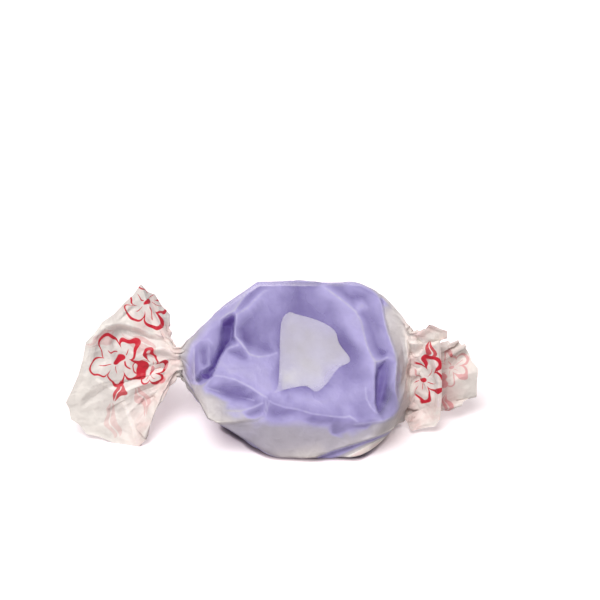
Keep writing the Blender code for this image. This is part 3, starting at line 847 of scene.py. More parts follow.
def paper_rings(turns):
    """The smooth paper, before its folds: left fan and neck, body, right neck and fan."""
    places = stations(LEFT_NECK.x, RIGHT_NECK.x, BODY_ROWS)
    lofted = [loft_ring(PAPER_GUIDES, (LEFT_NECK, RIGHT_NECK), x, turns) for x in places]
    body = [rounded(ring, PAPER_ROUNDING) for ring in lofted]
    step = np.array([NECK_LENGTH / NECK_ROWS, 0.0, 0.0])
    left_necks = [body[0] - step * (k + 1) for k in range(NECK_ROWS)][::-1]
    right_necks = [body[-1] + step * (k + 1) for k in range(NECK_ROWS)]
    left = fan_rings(left_necks[0], LEFT_RIM, -1, LEFT_FAN_ROWS, turns)[::-1]
    right = fan_rings(right_necks[-1], RIGHT_RIM, 1, RIGHT_FAN_ROWS, turns)
    return np.array(left + left_necks + body + right_necks + right)


def ring_normals(rings):
    """Unit normals of a tube of rings, facing out."""
    along = np.gradient(rings, axis=0)
    around = np.roll(rings, -1, axis=1) - np.roll(rings, 1, axis=1)
    normals = np.cross(around, along)
    return normals / np.maximum(np.linalg.norm(normals, axis=2, keepdims=True), SPECK)


def known_values(places, values, points, origins):
    """The value of each corner of the triangles; one where two edges cross takes its neighbours' mean."""
    known = np.array([values[origin[0]] if origin else values[0] * np.nan for origin in origins])
    for index in np.nonzero(np.isnan(known[:, 0]))[0]:
        near = np.argsort(np.linalg.norm(np.array(places) - points[index], axis=1))[:2]
        known[index] = values[near].mean(axis=0)
    return known


def spread_over(places, values, edges, queries):
    """Values at queries, straight over the triangles that join the places."""
    corners = [Vector(place) for place in places]
    found = delaunay_2d_cdt(corners, edges, [], 0, TOLERANCE)
    points = np.array([tuple(point) for point in found[0]])
    known = known_values(places, values, points, found[3])
    result = np.zeros((len(queries), values.shape[1]))
    for face in found[2]:
        a, b, c = (points[k] for k in face)
        area = (b[0] - a[0]) * (c[1] - a[1]) - (b[1] - a[1]) * (c[0] - a[0])
        if abs(area) < SPECK:
            continue
        low = np.minimum(np.minimum(a, b), c)
        high = np.maximum(np.maximum(a, b), c)
        near = np.nonzero(np.all((queries >= low) & (queries <= high), axis=1))[0]
        q = queries[near] - a
        wb = (q[:, 0] * (c[1] - a[1]) - q[:, 1] * (c[0] - a[0])) / area
        wc = (q[:, 1] * (b[0] - a[0]) - q[:, 0] * (b[1] - a[1])) / area
        inside = (wb >= -TOLERANCE) & (wc >= -TOLERANCE) & (wb + wc <= 1 + TOLERANCE)
        weights = np.column_stack([1 - wb - wc, wb, wc])[inside]
        result[near[inside]] = weights @ known[list(face)]
    return result


def fold_network():
    """The places of the fold tables, their lift and haze, and the edges along the crisp folds."""
    places, values, edges = [], [], []
    index_of = {}
    for fold in CRISP_FOLDS.values():
        last = None
        for right, down, lift, haze in fold:
            key = (right, down)
            if key not in index_of:
                index_of[key] = len(places)
                places.append(key)
                values.append((lift, haze))
            here = index_of[key]
            if last is not None:
                edges.append((last, here))
            last = here
    for right, down, lift, haze in sum(SOFT_PLACES.values(), []):
        places.append((right, down))
        values.append((lift, haze))
    return places, np.array(values, dtype=float), edges


def distance_to_folds(pixels, places, edges):
    """How many pixels each pixel is from the nearest crisp fold."""
    nearest = np.full(len(pixels), np.inf)
    for first, second in edges:
        a, b = np.array(places[first]), np.array(places[second])
        along = np.clip(((pixels - a) @ (b - a)) / ((b - a) @ (b - a)), 0, 1)
        nearest = np.minimum(nearest, np.linalg.norm(pixels - a - along[:, None] * (b - a), axis=1))
    return nearest


def front_folds(pixels):
    """Lift and haze of the front at each pixel, how near a crisp fold it is, and if on a raised crease."""
    places, values, edges = fold_network()
    spread = spread_over(places, values, edges, pixels)
    nearest = distance_to_folds(pixels, places, edges)
    crisp = np.exp(-((nearest / CRISP_WIDTH) ** 2))
    crease = np.exp(-((nearest / CREASE_WIDTH) ** 2)) * smooth_step(0.0, CREASE_LIFT, spread[:, 0])
    return spread[:, 0] * RELIEF, spread[:, 1], crisp, crease


def smoothed(grid, passes):
    """A grid of values, rows along the twist and columns round it, evened out."""
    for _ in range(passes):
        grid = (np.roll(grid, 1, axis=1) + 2 * grid + np.roll(grid, -1, axis=1)) / 4
        padded = np.concatenate([grid[:1], grid, grid[-1:]])
        grid = (padded[:-2] + 2 * padded[1:-1] + padded[2:]) / 4
    return grid


def smooth_step(low, high, values):
    """A soft step of the values from 0 at low to 1 at high."""
    t = np.clip((values - low) / (high - low), 0, 1)
    return t * t * (3 - 2 * t)


def sheet_turns():
    """Turns of the paper's columns, closer together at the front."""
    steps = np.arange(COLUMNS) / COLUMNS
    wave = np.sin(math.tau * (steps - FRONT_TURN)) + math.sin(math.tau * FRONT_TURN)
    return steps - FRONT_CROWDING / math.tau * wave


def row_places(rings):
    """How far along the paper each ring lies, in millimetres from the first one."""
    steps = np.linalg.norm(np.diff(rings, axis=0, prepend=rings[:1]), axis=2).mean(axis=1)
    return np.cumsum(steps)


def zigzag(turns, count, seed):
    """Uneven pleats round a section, from -1 in the folds to 1 on the ridges."""
    random = np.random.default_rng(seed)
    places = (np.arange(count) + random.uniform(-PLEAT_SHIFT, PLEAT_SHIFT, count)) / count
    heights = np.where(np.arange(count) % 2 == 0, 1.0, -1.0) * random.uniform(LOWEST_PLEAT, 1.0, count)
    places = np.concatenate([places - 1, places, places + 1])
    return np.interp(turns, places, np.tile(heights, 3))


def gathers(distances, turns, seed, front):
    """Heights of the pleats gathered at a neck; distances are positive on the body's side."""
    coarse = np.array([zigzag((turns + TWIST * d) % 1.0, COARSE_PLEATS, seed) for d in distances])
    fine = np.array([zigzag((turns - TWIST * d) % 1.0, FINE_PLEATS, seed + 1) for d in distances])
    on_body = FADE_ON_BACK + (FADE_ON_BODY - FADE_ON_BACK) * front
    fade = np.where(distances[:, None] > 0, on_body, FADE_ON_FAN)
    strength = np.exp(-((distances[:, None] / fade) ** 2))
    return (COARSE_HEIGHT * coarse + FINE_HEIGHT * fine) * strength


def neck_gathers(rings, turns, front):
    """Heights of the pleats at both necks."""
    places = row_places(rings)
    left = gathers(places - places[LEFT_FAN_ROWS], turns, SEED + 2, front)
    right = gathers(places[-RIGHT_FAN_ROWS - 1] - places, turns, SEED + 4, front)
    return left + right


def back_seam(rings, turns):
    """Heights of the paper's lapped edge, which runs along the back."""
    wander = SEAM_WANDER * np.sin(rings[:, 0, 0] / SEAM_WAVE)
    past = (turns[None, :] - SEAM_TURN - wander[:, None]) % 1.0 * SHEET_ROUND
    return SEAM_HEIGHT * np.exp(-past / SEAM_REACH)


def crumple(rings, facets):
    """Random facets over the whole tube, as a height for each of its points."""
    random = np.random.default_rng(facets.seed)
    rows, columns, _ = rings.shape
    along = row_places(rings)
    around = SHEET_ROUND
    places, values = [], []
    for _ in range(int(along[-1] * around / facets.size**2)):
        s = random.uniform(0, along[-1])
        v = random.uniform(0, around)
        h = random.uniform(-1, 1)
        for shift in (-around, 0, around):
            places.append((s, v + shift))
            values.append((h, 0))
    for s in (-SHEET_MARGIN, along[-1] + SHEET_MARGIN):
        for v in (-around, 0, around, 2 * around):
            places.append((s, v))
            values.append((0, 0))
    queries = np.column_stack([np.repeat(along, columns), np.tile(sheet_turns() * around, rows)])
    spread = spread_over(places, np.array(values, dtype=float), [], queries)
    return (spread[:, 0] * facets.height).reshape(rows, columns)


def grid_faces(rows, columns):
    """The faces of a tube of rings."""
    row, column = np.meshgrid(np.arange(rows - 1), np.arange(columns), indexing="ij")
    here = (row * columns + column).ravel()
    beside = (row * columns + (column + 1) % columns).ravel()
    return np.column_stack([here, beside, beside + columns, here + columns])


def spot_seen(rings, motif):
    """The place of the paper that shows at a motif's pixel, across and up in the plane of the print."""
    points = rings.reshape(-1, 3)
    away = np.linalg.norm(in_picture(points) - (motif.right, motif.down), axis=1)
    near = np.nonzero(away < SPOT_REACH)[0]
    depth = (points[near] - EYE) @ FORWARDS
    nearest = np.argmax(depth) if motif.far else np.argmin(depth)
    spot = points[near[nearest]] - MIDDLE
    return spot[0], 0.0, spot @ UPWARDS


def new_mesh_object(name, points, faces):
    """A smooth piece from points in the maker's frame, linked to the scene."""
    mesh = bpy.data.meshes.new(name)
    mesh.from_pydata(((points - MIDDLE) * MM).tolist(), [], [list(face) for face in faces])
    made = bpy.data.objects.new(name, mesh)
    bpy.context.scene.collection.objects.link(made)
    mesh.shade_smooth()
    return made


def set_attribute(mesh, name, values):
    attribute = mesh.attributes.new(name, "FLOAT", "POINT")
    attribute.data.foreach_set("value", np.ascontiguousarray(values, dtype=np.float32).ravel())


def near_side(turns, end):
    """1 on the columns of a fan that face the viewer, from turn 0 to this end."""
    return smooth_step(0.0, NEAR_FADE_IN, turns) * (1 - smooth_step(end, end + NEAR_FADE_OUT, turns))


def front_share(turns, facing):
    """1 where the folds of the front are laid on, and 0 on the back."""
    front = smooth_step(0.0, FRONT_EDGE, facing)
    front[:LEFT_FAN_ROWS] = near_side(turns, LEFT_NEAR / len(LEFT_RIM))
    front[-RIGHT_FAN_ROWS:] = near_side(turns, RIGHT_NEAR / len(RIGHT_RIM))
    return smoothed(front, FRONT_BLEND)


def laid_folds(rings):
    """Lift, haze and crease of the front, as grids over the rings."""
    found = front_folds(in_picture(rings.reshape(-1, 3)))
    lift, haze, crisp, crease = (values.reshape(rings.shape[:2]) for values in found)
    soft = smoothed(lift, SMOOTHING)
    return soft + (lift - soft) * crisp, smoothed(haze, 1), crease


def back_relief(rings, turns):
    """Heights and haze of the back, with its crumples and its lapped edge."""
    crumples = crumple(rings, BACK_FACETS) + crumple(rings, BACK_CREASES)
    seam = back_seam(rings, turns)
    haze = smoothed(BACK_HAZE + CRUMPLE_HAZE * crumples + SEAM_HAZE * seam, 1)
    return crumples + seam, haze


def share_on_body(rings):
    """1 for the rings of the body, fading to 0 for those of the twists."""
    return 1 - smooth_step(*BODY_FADE, np.abs(rings[:, 0, 0]))[:, None]


def sheet_heights(rings, turns, front, back_height):
    """How far the crumples and pleats stand off the smooth paper, outwards."""
    on_body = share_on_body(rings)
    heights = back_height * (1 - front) * (BACK_ON_TWIST + (1 - BACK_ON_TWIST) * on_body)
    heights += crumple(rings, FRONT_FACETS) * front * on_body
    heights += crumple(rings, FAN_FACETS) * (1 - on_body)
    return heights + neck_gathers(rings, turns, front)


def sheet_haze(rings, front, front_haze, back_haze):
    """How milky the paper is; it is most so on the twists and where no taffy lies behind it."""
    on_body = share_on_body(rings)
    over_taffy = on_body * (1 - smooth_step(*TAFFY_FADE, rings[:, 0, 0]))[:, None]
    back_haze = BARE_HAZE + (back_haze - BARE_HAZE) * over_taffy
    haze = front_haze * front + back_haze * (1 - front)
    haze = haze + (1 - haze) * (1 - on_body) * TWIST_HAZE
    return np.clip(haze, 0, 1)


def shape_paper():
    """The paper's rings with all folds, and the haze and crease of each point."""
    turns = sheet_turns()
    rings = paper_rings(turns)
    normals = ring_normals(rings)
    towards = EYE - rings
    towards /= np.linalg.norm(towards, axis=2, keepdims=True)
    front = front_share(turns, np.sum(normals * towards, axis=2))
    lift, front_haze, crease = laid_folds(rings)
    back_height, back_haze = back_relief(rings, turns)
    heights = sheet_heights(rings, turns, front, back_height)
    haze = sheet_haze(rings, front, front_haze, back_haze)
    rings = rings + towards * (lift * front)[:, :, None] + normals * heights[:, :, None]
    rings[:, :, 2] = np.maximum(rings[:, :, 2], 0.0)
    return rings, haze, crease * front


def make_paper(rings, haze, crease):
    faces = grid_faces(len(rings), COLUMNS)
    paper = new_mesh_object("paper_wrap", rings.reshape(-1, 3), faces)
    set_attribute(paper.data, "haze", haze)
    set_attribute(paper.data, "crease", crease)
    paper.data.materials.append(paper_material(rings))
    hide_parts("wrapper")
    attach(paper, "root")


def body_section(body, x, turns):
    """Points of the paper's body at one x, all round."""
    places = stations(LEFT_NECK.x, RIGHT_NECK.x, BODY_ROWS)
    row = np.clip(np.searchsorted(places, x) - 1, 0, BODY_ROWS - 2)
    share = (x - places[row]) / (places[row + 1] - places[row])
    ring = body[row] * (1 - share) + body[row + 1] * share
    column = np.append(sheet_turns(), 1.0)
    ring = np.vstack([ring, ring[:1]])
    return np.column_stack([np.interp(turns, column, ring[:, k]) for k in range(3)])


def pressed_in(sweet, places, body, turns):
    """The sweet's sections, pushed in where they would come too near the paper."""
    paper = np.array([body_section(body, x, turns) for x in places])
    outwards = ring_normals(sweet)
    room = np.sum((paper - sweet) * outwards, axis=2)
    short = np.maximum(TOUCHING - room, 0.0)
    short = np.maximum(short, smoothed(short, 1))
    return sweet - outwards * short[:, :, None]


def whole_sweet(rings):
    """The sweet as one closed piece, inside the folded paper."""
    turns = np.arange(TAFFY_COLUMNS) / TAFFY_COLUMNS
    places = stations(TAFFY_LEFT.x, TAFFY_RIGHT.x, TAFFY_ROWS)
    lofted = [loft_ring(TAFFY_GUIDES, (TAFFY_LEFT, TAFFY_RIGHT), x, turns) for x in places]
    sweet = np.array([rounded(ring, TAFFY_ROUNDING) for ring in lofted])
    body = rings[LEFT_FAN_ROWS + NECK_ROWS:-(RIGHT_FAN_ROWS + NECK_ROWS)]
    points = pressed_in(sweet, places, body, turns).reshape(-1, 3)
    faces = [list(face) for face in grid_faces(TAFFY_ROWS, TAFFY_COLUMNS)]
    faces.append(list(range(TAFFY_COLUMNS))[::-1])
    faces.append(list(range((TAFFY_ROWS - 1) * TAFFY_COLUMNS, TAFFY_ROWS * TAFFY_COLUMNS)))
    return new_mesh_object("taffy_sheath", points, faces)


def copied(piece, name):
    made = piece.copy()
    made.data = piece.data.copy()
    made.name = name
    bpy.context.scene.collection.objects.link(made)
    return made


def give_material(piece, material):
    piece.data.materials.clear()
    piece.data.materials.append(material)


def make_sweet(rings):
    """The purple taffy and its white centre, both cut from the whole sweet."""
    taffy = whole_sweet(rings)
    column = centre_column()
    core = copied(taffy, "taffy_core")
    cut(taffy, column, "DIFFERENCE")
    cut(core, column, "INTERSECT")
    bpy.data.objects.remove(column, do_unlink=True)
    give_material(taffy, taffy_material("purple_taffy", *PURPLE_SHADES))
    give_material(core, taffy_material("white_taffy", *WHITE_SHADES))
    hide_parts("taffy")
    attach(taffy, "root")
    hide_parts("taffy_centre")
    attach(core, "root")


def face_point(across, up):
    """A point of the plane of the cut face, from the middle of its foot."""
    y = FACE_FOOT[0] + up * math.sin(FACE_LEAN)
    z = FACE_FOOT[1] + up * math.cos(FACE_LEAN)
    return np.array([across, y, z])


def spline_point(a, b, c, d, t):
    """The place this share of the way from b to c, on a smooth line through all four."""
    slope = (c - a) * t
    bend = (2 * a - 5 * b + 4 * c - d) * t**2
    sway = (3 * b - a - 3 * c + d) * t**3
    return 0.5 * (2 * b + slope + bend + sway)


def spline_loop(points, steps):
    """A closed smooth line through the points."""
    points = np.array(points, dtype=float)
    count = len(points)
    line = []
    for index in range(count):
        a, b, c, d = (points[(index + k - 1) % count] for k in range(4))
        line += [spline_point(a, b, c, d, t) for t in np.arange(steps) / steps]
    return np.array(line)


def centre_column():
    """The centre's outline drawn right through the sweet, square to the cut face."""
    line = spline_loop(CENTRE_OUTLINE, OUTLINE_STEPS)
    outwards = np.array([0.0, -math.cos(FACE_LEAN), math.sin(FACE_LEAN)])
    face = np.array([face_point(across, up) for across, up in line])
    near = face + outwards * COLUMN_OUT
    far = face - outwards * COLUMN_IN
    count = len(line)
    faces = [(k, (k + 1) % count, (k + 1) % count + count, k + count) for k in range(count)]
    faces += [tuple(range(count))[::-1], tuple(range(count, 2 * count))]
    column = new_mesh_object("centre_column", np.vstack([near, far]), faces)
    shape = bmesh.new()
    shape.from_mesh(column.data)
    bmesh.ops.recalc_face_normals(shape, faces=shape.faces)
    shape.to_mesh(column.data)
    shape.free()
    return column


def cut(body, cutter, operation):
    boolean = body.modifiers.new("cut", "BOOLEAN")
    boolean.operation = operation
    boolean.solver = "EXACT"
    boolean.object = cutter
    depsgraph = bpy.context.evaluated_depsgraph_get()
    result = bpy.data.meshes.new_from_object(body.evaluated_get(depsgraph))
    body.modifiers.clear()
    body.data = result


class Graph:
    """Adds nodes to one node tree, each in a single call."""

    def __init__(self, tree):
        self.tree = tree

    def feed(self, socket, value):
        """Links a socket to another node's output, or sets it to a plain value."""
        if isinstance(value, bpy.types.NodeSocket):
            self.tree.links.new(value, socket)
        else:
            socket.default_value = value

    def node(self, kind, inputs=None, **settings):
        made = self.tree.nodes.new(kind)
        for name, value in settings.items():
            setattr(made, name, value)
        for name, value in (inputs or {}).items():
            self.feed(made.inputs[name], value)
        return made

    def math(self, operation, first, second=0.0, third=0.0):
        inputs = {0: first, 1: second, 2: third}
        return self.node("ShaderNodeMath", inputs, operation=operation).outputs[0]

    def vectors(self, operation, first, second):
        return self.node("ShaderNodeVectorMath", {0: first, 1: second}, operation=operation).outputs[0]

    def scaled(self, vector, factor):
        return self.node("ShaderNodeVectorMath", {0: vector, "Scale": factor}, operation="SCALE").outputs[0]

    def parts(self, vector):
        return self.node("ShaderNodeSeparateXYZ", {0: vector}).outputs

    def attribute(self, name):
        return self.node("ShaderNodeAttribute", attribute_name=name).outputs["Fac"]

    def step(self, value, low, high):
        """A soft step of the value from low to high; it falls instead where low is above high."""
        inputs = {"Value": value, "From Min": low, "From Max": high}
        made = self.node("ShaderNodeMapRange", inputs, interpolation_type="SMOOTHSTEP")
        return made.outputs["Result"]

    def mix(self, share, first, second):
        made = self.node("ShaderNodeMix", data_type="RGBA")
        for socket, value in zip((made.inputs[0], made.inputs[6], made.inputs[7]), (share, first, second)):
            self.feed(socket, value)
        return made.outputs[2]

    def group(self, build, name, inputs):
        """The output of a shared group, which is built where it is first used."""
        tree = bpy.data.node_groups.get(name) or build(name)
        return self.node("ShaderNodeGroup", inputs, node_tree=tree).outputs[0]

    def bump(self, shader, height, strength, depth):
        inputs = {"Height": height, "Strength": strength, "Distance": depth * MM}
        self.feed(shader.inputs["Normal"], self.node("ShaderNodeBump", inputs).outputs["Normal"])


def new_group(name, inputs, outputs):
    """A shader node group with these sockets, and the graph and nodes to fill it with."""
    tree = bpy.data.node_groups.new(name, "ShaderNodeTree")
    for label, kind in inputs:
        tree.interface.new_socket(label, in_out="INPUT", socket_type=kind)
    for label, kind in outputs:
        tree.interface.new_socket(label, in_out="OUTPUT", socket_type=kind)
    graph = Graph(tree)
    return tree, graph, graph.node("NodeGroupInput").outputs, graph.node("NodeGroupOutput").inputs


def place_in_motif(graph, given):
    """The place measured from a motif's centre, as a share of its size."""
    away = graph.vectors("SUBTRACT", given["Place"], given["Centre"])
    return graph.scaled(away, graph.math("DIVIDE", 1.0, given["Size"]))


def pen_line(graph, reach, angle, petals):
    """The outline of the petals, thicker on one side, as a broad pen draws it."""
    off_line = graph.math("ABSOLUTE", graph.math("SUBTRACT", reach, petals))
    swing = graph.math("SINE", graph.math("ADD", angle, PEN_TURN))
    pen = graph.math("MULTIPLY_ADD", swing, PEN_SWING, PEN_WIDTH)
    outer = graph.math("ADD", pen, PEN_EDGE)
    return graph.step(off_line, outer, graph.math("SUBTRACT", pen, PEN_EDGE))


def flower_group(name):
    """The outline of a flower drawn with a broad pen, its veins and its heart."""
    sockets = [("Place", VECTOR), ("Centre", VECTOR), ("Size", FLOAT), ("Turn", FLOAT), ("Petals", FLOAT)]
    tree, graph, given, result = new_group(name, sockets, [("Mask", FLOAT)])
    parts = graph.parts(place_in_motif(graph, given))
    flat = graph.node("ShaderNodeCombineXYZ", {"X": parts["X"], "Y": parts["Z"]}).outputs[0]
    reach = graph.node("ShaderNodeVectorMath", {0: flat}, operation="LENGTH").outputs["Value"]
    angle = graph.math("ADD", graph.math("ARCTAN2", parts["Z"], parts["X"]), given["Turn"])
    half_petals = graph.math("MULTIPLY", angle, graph.math("MULTIPLY", given["Petals"], 0.5))
    wave = graph.math("ABSOLUTE", graph.math("COSINE", half_petals))
    bulge = graph.math("POWER", wave, PETAL_ROUNDNESS)
    petals = graph.math("MULTIPLY_ADD", bulge, PETAL_LENGTH, PETAL_START)
    line = pen_line(graph, reach, angle, petals)
    vein = graph.math("MULTIPLY", graph.math("ABSOLUTE", graph.math("SINE", half_petals)), reach)
    vein_reach = graph.math("MULTIPLY", graph.step(reach, *VEIN_START), graph.step(reach, *VEIN_END))
    veins = graph.math("MULTIPLY", graph.step(vein, *VEIN_EDGE), vein_reach)
    inner = graph.math("MAXIMUM", veins, graph.step(reach, *HEART_EDGE))
    graph.feed(result["Mask"], graph.math("MAXIMUM", line, inner))
    return tree


def leaf_group(name):
    """A filled leaf with a bare midrib."""
    sockets = [("Place", VECTOR), ("Centre", VECTOR), ("Size", FLOAT), ("Turn", FLOAT)]
    tree, graph, given, result = new_group(name, sockets, [("Mask", FLOAT)])
    inputs = {"Vector": place_in_motif(graph, given), "Angle": given["Turn"]}
    turned = graph.node("ShaderNodeVectorRotate", inputs, rotation_type="Y_AXIS")
    parts = graph.parts(turned.outputs[0])
    squared = graph.math("MULTIPLY", parts["X"], parts["X"])
    width = graph.math("MULTIPLY_ADD", squared, -LEAF_WIDTH, LEAF_WIDTH)
    across = graph.math("ABSOLUTE", parts["Z"])
    inside = graph.step(graph.math("SUBTRACT", width, across), 0.0, LEAF_EDGE)
    graph.feed(result["Mask"], graph.math("MULTIPLY", inside, graph.step(across, *MIDRIB_EDGE)))
    return tree


def crinkle_group(name):
    """The height of a crumpled surface, in facets of about the given size."""
    sockets = [("Place", VECTOR), ("Size", FLOAT), ("Warp", FLOAT)]
    tree, graph, given, result = new_group(name, sockets, [("Height", FLOAT)])
    place = graph.scaled(given["Place"], graph.math("DIVIDE", 1.0, given["Size"]))
    noise = graph.node("ShaderNodeTexNoise", {"Vector": place, "Scale": WARP_SCALE, "Detail": 2.0})
    warped = graph.vectors("ADD", place, graph.scaled(noise.outputs["Color"], given["Warp"]))
    broad = graph.node("ShaderNodeTexVoronoi", {"Vector": warped, "Scale": BROAD_FACETS})
    small = graph.node("ShaderNodeTexVoronoi", {"Vector": warped, "Scale": SMALL_FACETS})
    height = graph.math("MULTIPLY_ADD", small.outputs["Distance"], SMALL_SHARE, broad.outputs["Distance"])
    graph.feed(result["Height"], height)
    return tree


def mottle_group(name):
    """A soft cloudy mask from 0 to 1."""
    tree, graph, given, result = new_group(name, [("Place", VECTOR), ("Size", FLOAT)], [("Mask", FLOAT)])
    inverse = graph.math("DIVIDE", 1.0, given["Size"])
    noise = graph.node("ShaderNodeTexNoise", {"Vector": given["Place"], "Scale": inverse, "Detail": 4.0})
    graph.feed(result["Mask"], graph.step(noise.outputs["Fac"], *CLOUD_EDGE))
    return tree


def place_in_mm(graph):
    """The place in the part, in millimetres, for patterns in space."""
    return graph.scaled(graph.node("ShaderNodeTexCoord").outputs["Object"], 1 / MM)


def new_material(name, colour, roughness):
    """A material, the graph that adds nodes to it, and its shader."""
    made = bpy.data.materials.new(name)
    made.use_nodes = True
    shader = made.node_tree.nodes["Principled BSDF"]
    shader.inputs["Base Color"].default_value = (*colour, 1.0)
    shader.inputs["Roughness"].default_value = roughness
    return made, Graph(made.node_tree), shader


def taffy_material(name, deep, light):
    """Taffy in two shades: clouds of both, and more of the light one low down on the cut face, as painted
    light.
    """
    made, graph, shader = new_material(name, deep, TAFFY_ROUGHNESS)
    shader.inputs["Specular IOR Level"].default_value = TAFFY_GLOSS
    place = place_in_mm(graph)
    cloudy = graph.group(mottle_group, "mottle", {"Place": place, "Size": CLOUD_SIZE})
    painted_light_low = graph.step(graph.parts(place)["Z"], PAINTED_LIGHT_ABOVE, PAINTED_LIGHT_BELOW)
    share = graph.math("MULTIPLY_ADD", cloudy, CLOUD_SHARE, graph.math("MULTIPLY", painted_light_low, PAINTED_LIGHT_SHARE))
    graph.feed(shader.inputs["Base Color"], graph.mix(share, (*deep, 1), (*light, 1)))
    sizes = {"Place": place, "Size": TAFFY_CRINKLE, "Warp": TAFFY_WARP}
    graph.bump(shader, graph.group(crinkle_group, "crinkle", sizes), TAFFY_BUMP, TAFFY_BUMP_DEPTH)
    return made


def print_mask(graph, rings, place, from_middle):
    """The red print: every flower and leaf, each where it shows in the picture."""
    mask = 0.0
    for motif in FLOWERS + LEAVES:
        inputs = {"Place": place, "Centre": spot_seen(rings, motif), "Size": motif.size, "Turn": motif.turn}
        if isinstance(motif, Flower):
            inputs["Petals"] = motif.petals
            shape = graph.group(flower_group, "flower", inputs)
        else:
            shape = graph.group(leaf_group, "leaf", inputs)
        mask = graph.math("MAXIMUM", mask, graph.math("MULTIPLY", shape, motif.strength))
    return graph.math("MULTIPLY", mask, graph.step(from_middle, PRINT_START, PRINT_START + PRINT_EDGE))


def place_in_print(graph, place):
    """The place as the picture shows it, across and up, and uneven as a print by hand."""
    drift = graph.node("ShaderNodeTexNoise", {"Vector": place, "Scale": PRINT_WAVES, "Detail": 0.0})
    uneven = graph.vectors("SUBTRACT", drift.outputs["Color"], (0.5, 0.5, 0.5))
    inputs = {"Vector": place, "Angle": LOOK_DOWN}
    tipped = graph.node("ShaderNodeVectorRotate", inputs, rotation_type="X_AXIS").outputs[0]
    return graph.vectors("ADD", tipped, graph.scaled(uneven, PRINT_DRIFT))


def milkiness(graph, haze, crease, cloudy):
    """How milky the paper is, with soft clouds where it is thin and a milky line, also a painted highlight,
    on each crease.
    """
    thin = graph.math("SUBTRACT", 1.0, haze)
    clouds = graph.math("MULTIPLY", graph.math("SUBTRACT", cloudy, 0.5), thin)
    uneven = graph.math("MULTIPLY_ADD", clouds, CLOUD_MILK, haze)
    return graph.math("MULTIPLY_ADD", crease, CREASE_MILK_AND_HIGHLIGHT, uneven)


def paper_tone(graph, milk):
    """The paper's colour by its milkiness, partly painted shade in its grey middle tones."""
    tones = graph.node("ShaderNodeValToRGB", {"Fac": milk})
    ramp = tones.color_ramp
    while len(ramp.elements) < len(PAPER_TONES_AND_SHADE):
        ramp.elements.new(0.5)
    for element, (position, colour) in zip(ramp.elements, PAPER_TONES_AND_SHADE):
        element.position = position
        element.color = (*colour, 1)
    return tones.outputs["Color"]


def paper_crinkle(graph, place, haze):
    """Heights of the paper's finest crumples, lower where it clings to the taffy."""
    sizes = {"Place": place, "Size": PAPER_CRINKLE, "Warp": PAPER_WARP}
    height = graph.group(crinkle_group, "crinkle", sizes)
    free = graph.step(haze, *FREE_HAZE)
    share = graph.math("MULTIPLY_ADD", free, 1 - CLINGING_SHARE, CLINGING_SHARE)
    return graph.math("MULTIPLY", height, share)


def blushed_paper(graph, tone, haze, cloudy, from_middle):
    """The paper's colour with the faint red of rubbed ink on the twists."""
    near_print = graph.step(from_middle, BLUSH_END, BLUSH_START)
    on_twist = graph.math("MULTIPLY", graph.step(haze, *BLUSH_HAZE), near_print)
    blush = graph.math("MULTIPLY", graph.math("MULTIPLY", cloudy, on_twist), BLUSH)
    return graph.mix(blush, tone, (*PRINT_PALE, 1))


def paper_material(rings):
    """Waxed paper: clear where it clings to the taffy, milky elsewhere, printed near its ends, with painted
    highlights on creases and painted shade in crumples.
    """
    made, graph, shader = new_material("waxed_paper", PAPER_COLOUR, PAPER_ROUGHNESS)
    shader.inputs["Specular IOR Level"].default_value = PAPER_GLOSS
    place = place_in_mm(graph)
    haze = graph.attribute("haze")
    crease = graph.attribute("crease")
    from_middle = graph.math("ABSOLUTE", graph.math("ADD", graph.parts(place)["X"], float(MIDDLE[0])))
    cloudy = graph.group(mottle_group, "mottle", {"Place": place, "Size": CLOUD_SIZE})
    milk = milkiness(graph, haze, crease, cloudy)
    # A painted highlight: a light lilac line along each raised crease, broken by gaps
    highlight_gaps = graph.group(mottle_group, "mottle", {"Place": place, "Size": GLINT_SIZE})
    glint = graph.math("MULTIPLY", graph.math("MULTIPLY", crease, highlight_gaps), FOLD_GLINT)
    fold_highlighted = graph.mix(glint, paper_tone(graph, milk), (*FOLD_HIGHLIGHT_TONE, 1))
    height = paper_crinkle(graph, place, haze)
    # Painted shade and light: the colour is darker where the crumples are low and lighter where high
    shaded = graph.scaled(fold_highlighted, graph.math("MULTIPLY_ADD", height, CRINKLE_PAINTED_SHADE, HOLLOW_PAINTED_SHADE))
    blushed = blushed_paper(graph, shaded, haze, cloudy, from_middle)
    mask = print_mask(graph, rings, place_in_print(graph, place), from_middle)
    behind = graph.node("ShaderNodeNewGeometry").outputs["Backfacing"]
    ink = graph.mix(behind, (*PRINT_RED, 1), (*PRINT_PALE, 1))
    graph.feed(shader.inputs["Base Color"], graph.mix(mask, blushed, ink))
    thin = graph.math("MAXIMUM", graph.math("SUBTRACT", 1.0, milk), 0.0)
    clear = graph.math("POWER", thin, CLEAR_POWER)
    cover = graph.math("MAXIMUM", graph.math("MULTIPLY_ADD", clear, -CLEAREST, 1.0), glint)
    graph.feed(shader.inputs["Alpha"], graph.math("MAXIMUM", cover, mask))
    graph.bump(shader, height, PAPER_BUMP, PAPER_BUMP_DEPTH)
    return made


def to_part(point):
    return Vector((point - MIDDLE) * MM)


def make_camera():
    data = bpy.data.cameras.new("camera")
    data.sensor_width = SENSOR
    data.lens = SENSOR * CAMERA_AWAY / (FRAME_PIXELS * PIXEL)
    data.clip_start = NEAREST_SEEN
    data.clip_end = FARTHEST_SEEN
    camera = bpy.data.objects.new("camera", data)
    bpy.context.scene.collection.objects.link(camera)
    camera.location = to_part(EYE)
    camera.rotation_euler = (math.pi / 2 - LOOK_DOWN, 0.0, 0.0)
    bpy.context.scene.camera = camera


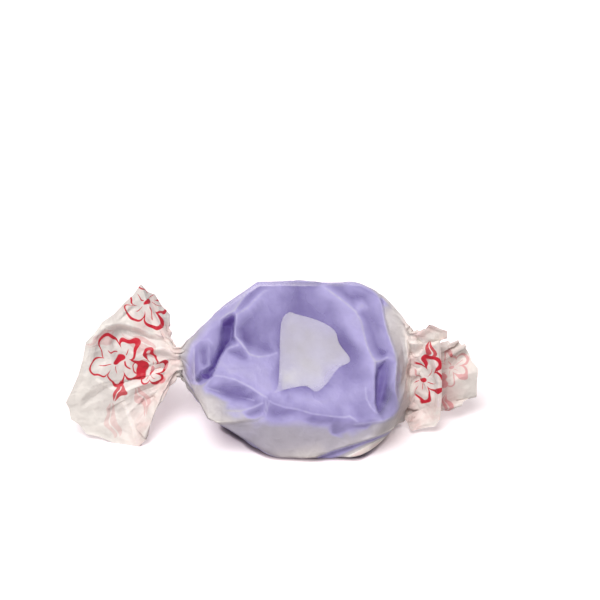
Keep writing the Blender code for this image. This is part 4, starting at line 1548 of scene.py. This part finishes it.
def floor_material():
    """White, with a painted glow, where the camera sees it; grey as the sweet sees it; a painted contact
    shadow where it touches.
    """
    white, graph, shader = new_material("floor_white", TABLE_WHITE[:3], TABLE_ROUGHNESS)
    shader.inputs["Emission Color"].default_value = TABLE_PAINTED_GLOW_COLOUR
    seen = graph.node("ShaderNodeLightPath").outputs["Is Camera Ray"]
    reach = {"Distance": CONTACT_REACH * MM}
    near = graph.node("ShaderNodeAmbientOcclusion", reach, samples=CONTACT_RAYS).outputs["AO"]
    # Painted contact shadow: a darker colour and no glow where the sweet is within reach
    free = graph.step(near, *CONTACT_EDGE)
    glow = graph.math("MULTIPLY", graph.math("MULTIPLY", seen, free), TABLE_PAINTED_GLOW)
    graph.feed(shader.inputs["Emission Strength"], glow)
    table = graph.mix(seen, TABLE_BOUNCE, TABLE_WHITE)
    graph.feed(shader.inputs["Base Color"], graph.mix(free, PAINTED_CONTACT_SHADOW, table))
    return white


def make_floor():
    mesh = bpy.data.meshes.new("floor")
    corners = [(-1, -1), (1, -1), (1, 1), (-1, 1)]
    mesh.from_pydata([(x * FLOOR_HALF, y * FLOOR_HALF, 0) for x, y in corners], [], [(0, 1, 2, 3)])
    floor = bpy.data.objects.new("floor", mesh)
    floor.location.z = -FLOOR_GAP
    bpy.context.scene.collection.objects.link(floor)
    floor.data.materials.append(floor_material())


def make_light(name, size, power, place):
    """A soft light, aimed at the part's foot."""
    data = bpy.data.lights.new(name, "AREA")
    data.shape = "RECTANGLE"
    data.size, data.size_y = size
    data.energy = power
    light = bpy.data.objects.new(name, data)
    bpy.context.scene.collection.objects.link(light)
    light.location = place
    light.rotation_euler = (-Vector(place)).to_track_quat("-Z", "Y").to_euler()


def make_studio():
    world = bpy.data.worlds.new("studio")
    world.use_nodes = True
    world.node_tree.nodes["Background"].inputs["Color"].default_value = (1.0, 1.0, 1.0, 1.0)
    world.node_tree.nodes["Background"].inputs["Strength"].default_value = ROOM_LIGHT
    bpy.context.scene.world = world
    bpy.context.scene.view_settings.view_transform = "Standard"
    for name, size, power, place in LIGHTS:
        make_light(name, size, power, place)
    make_camera()
    make_floor()


def main():
    make_studio()
    rings, haze, crease = shape_paper()
    make_paper(rings, haze, crease)
    make_sweet(rings)


main()
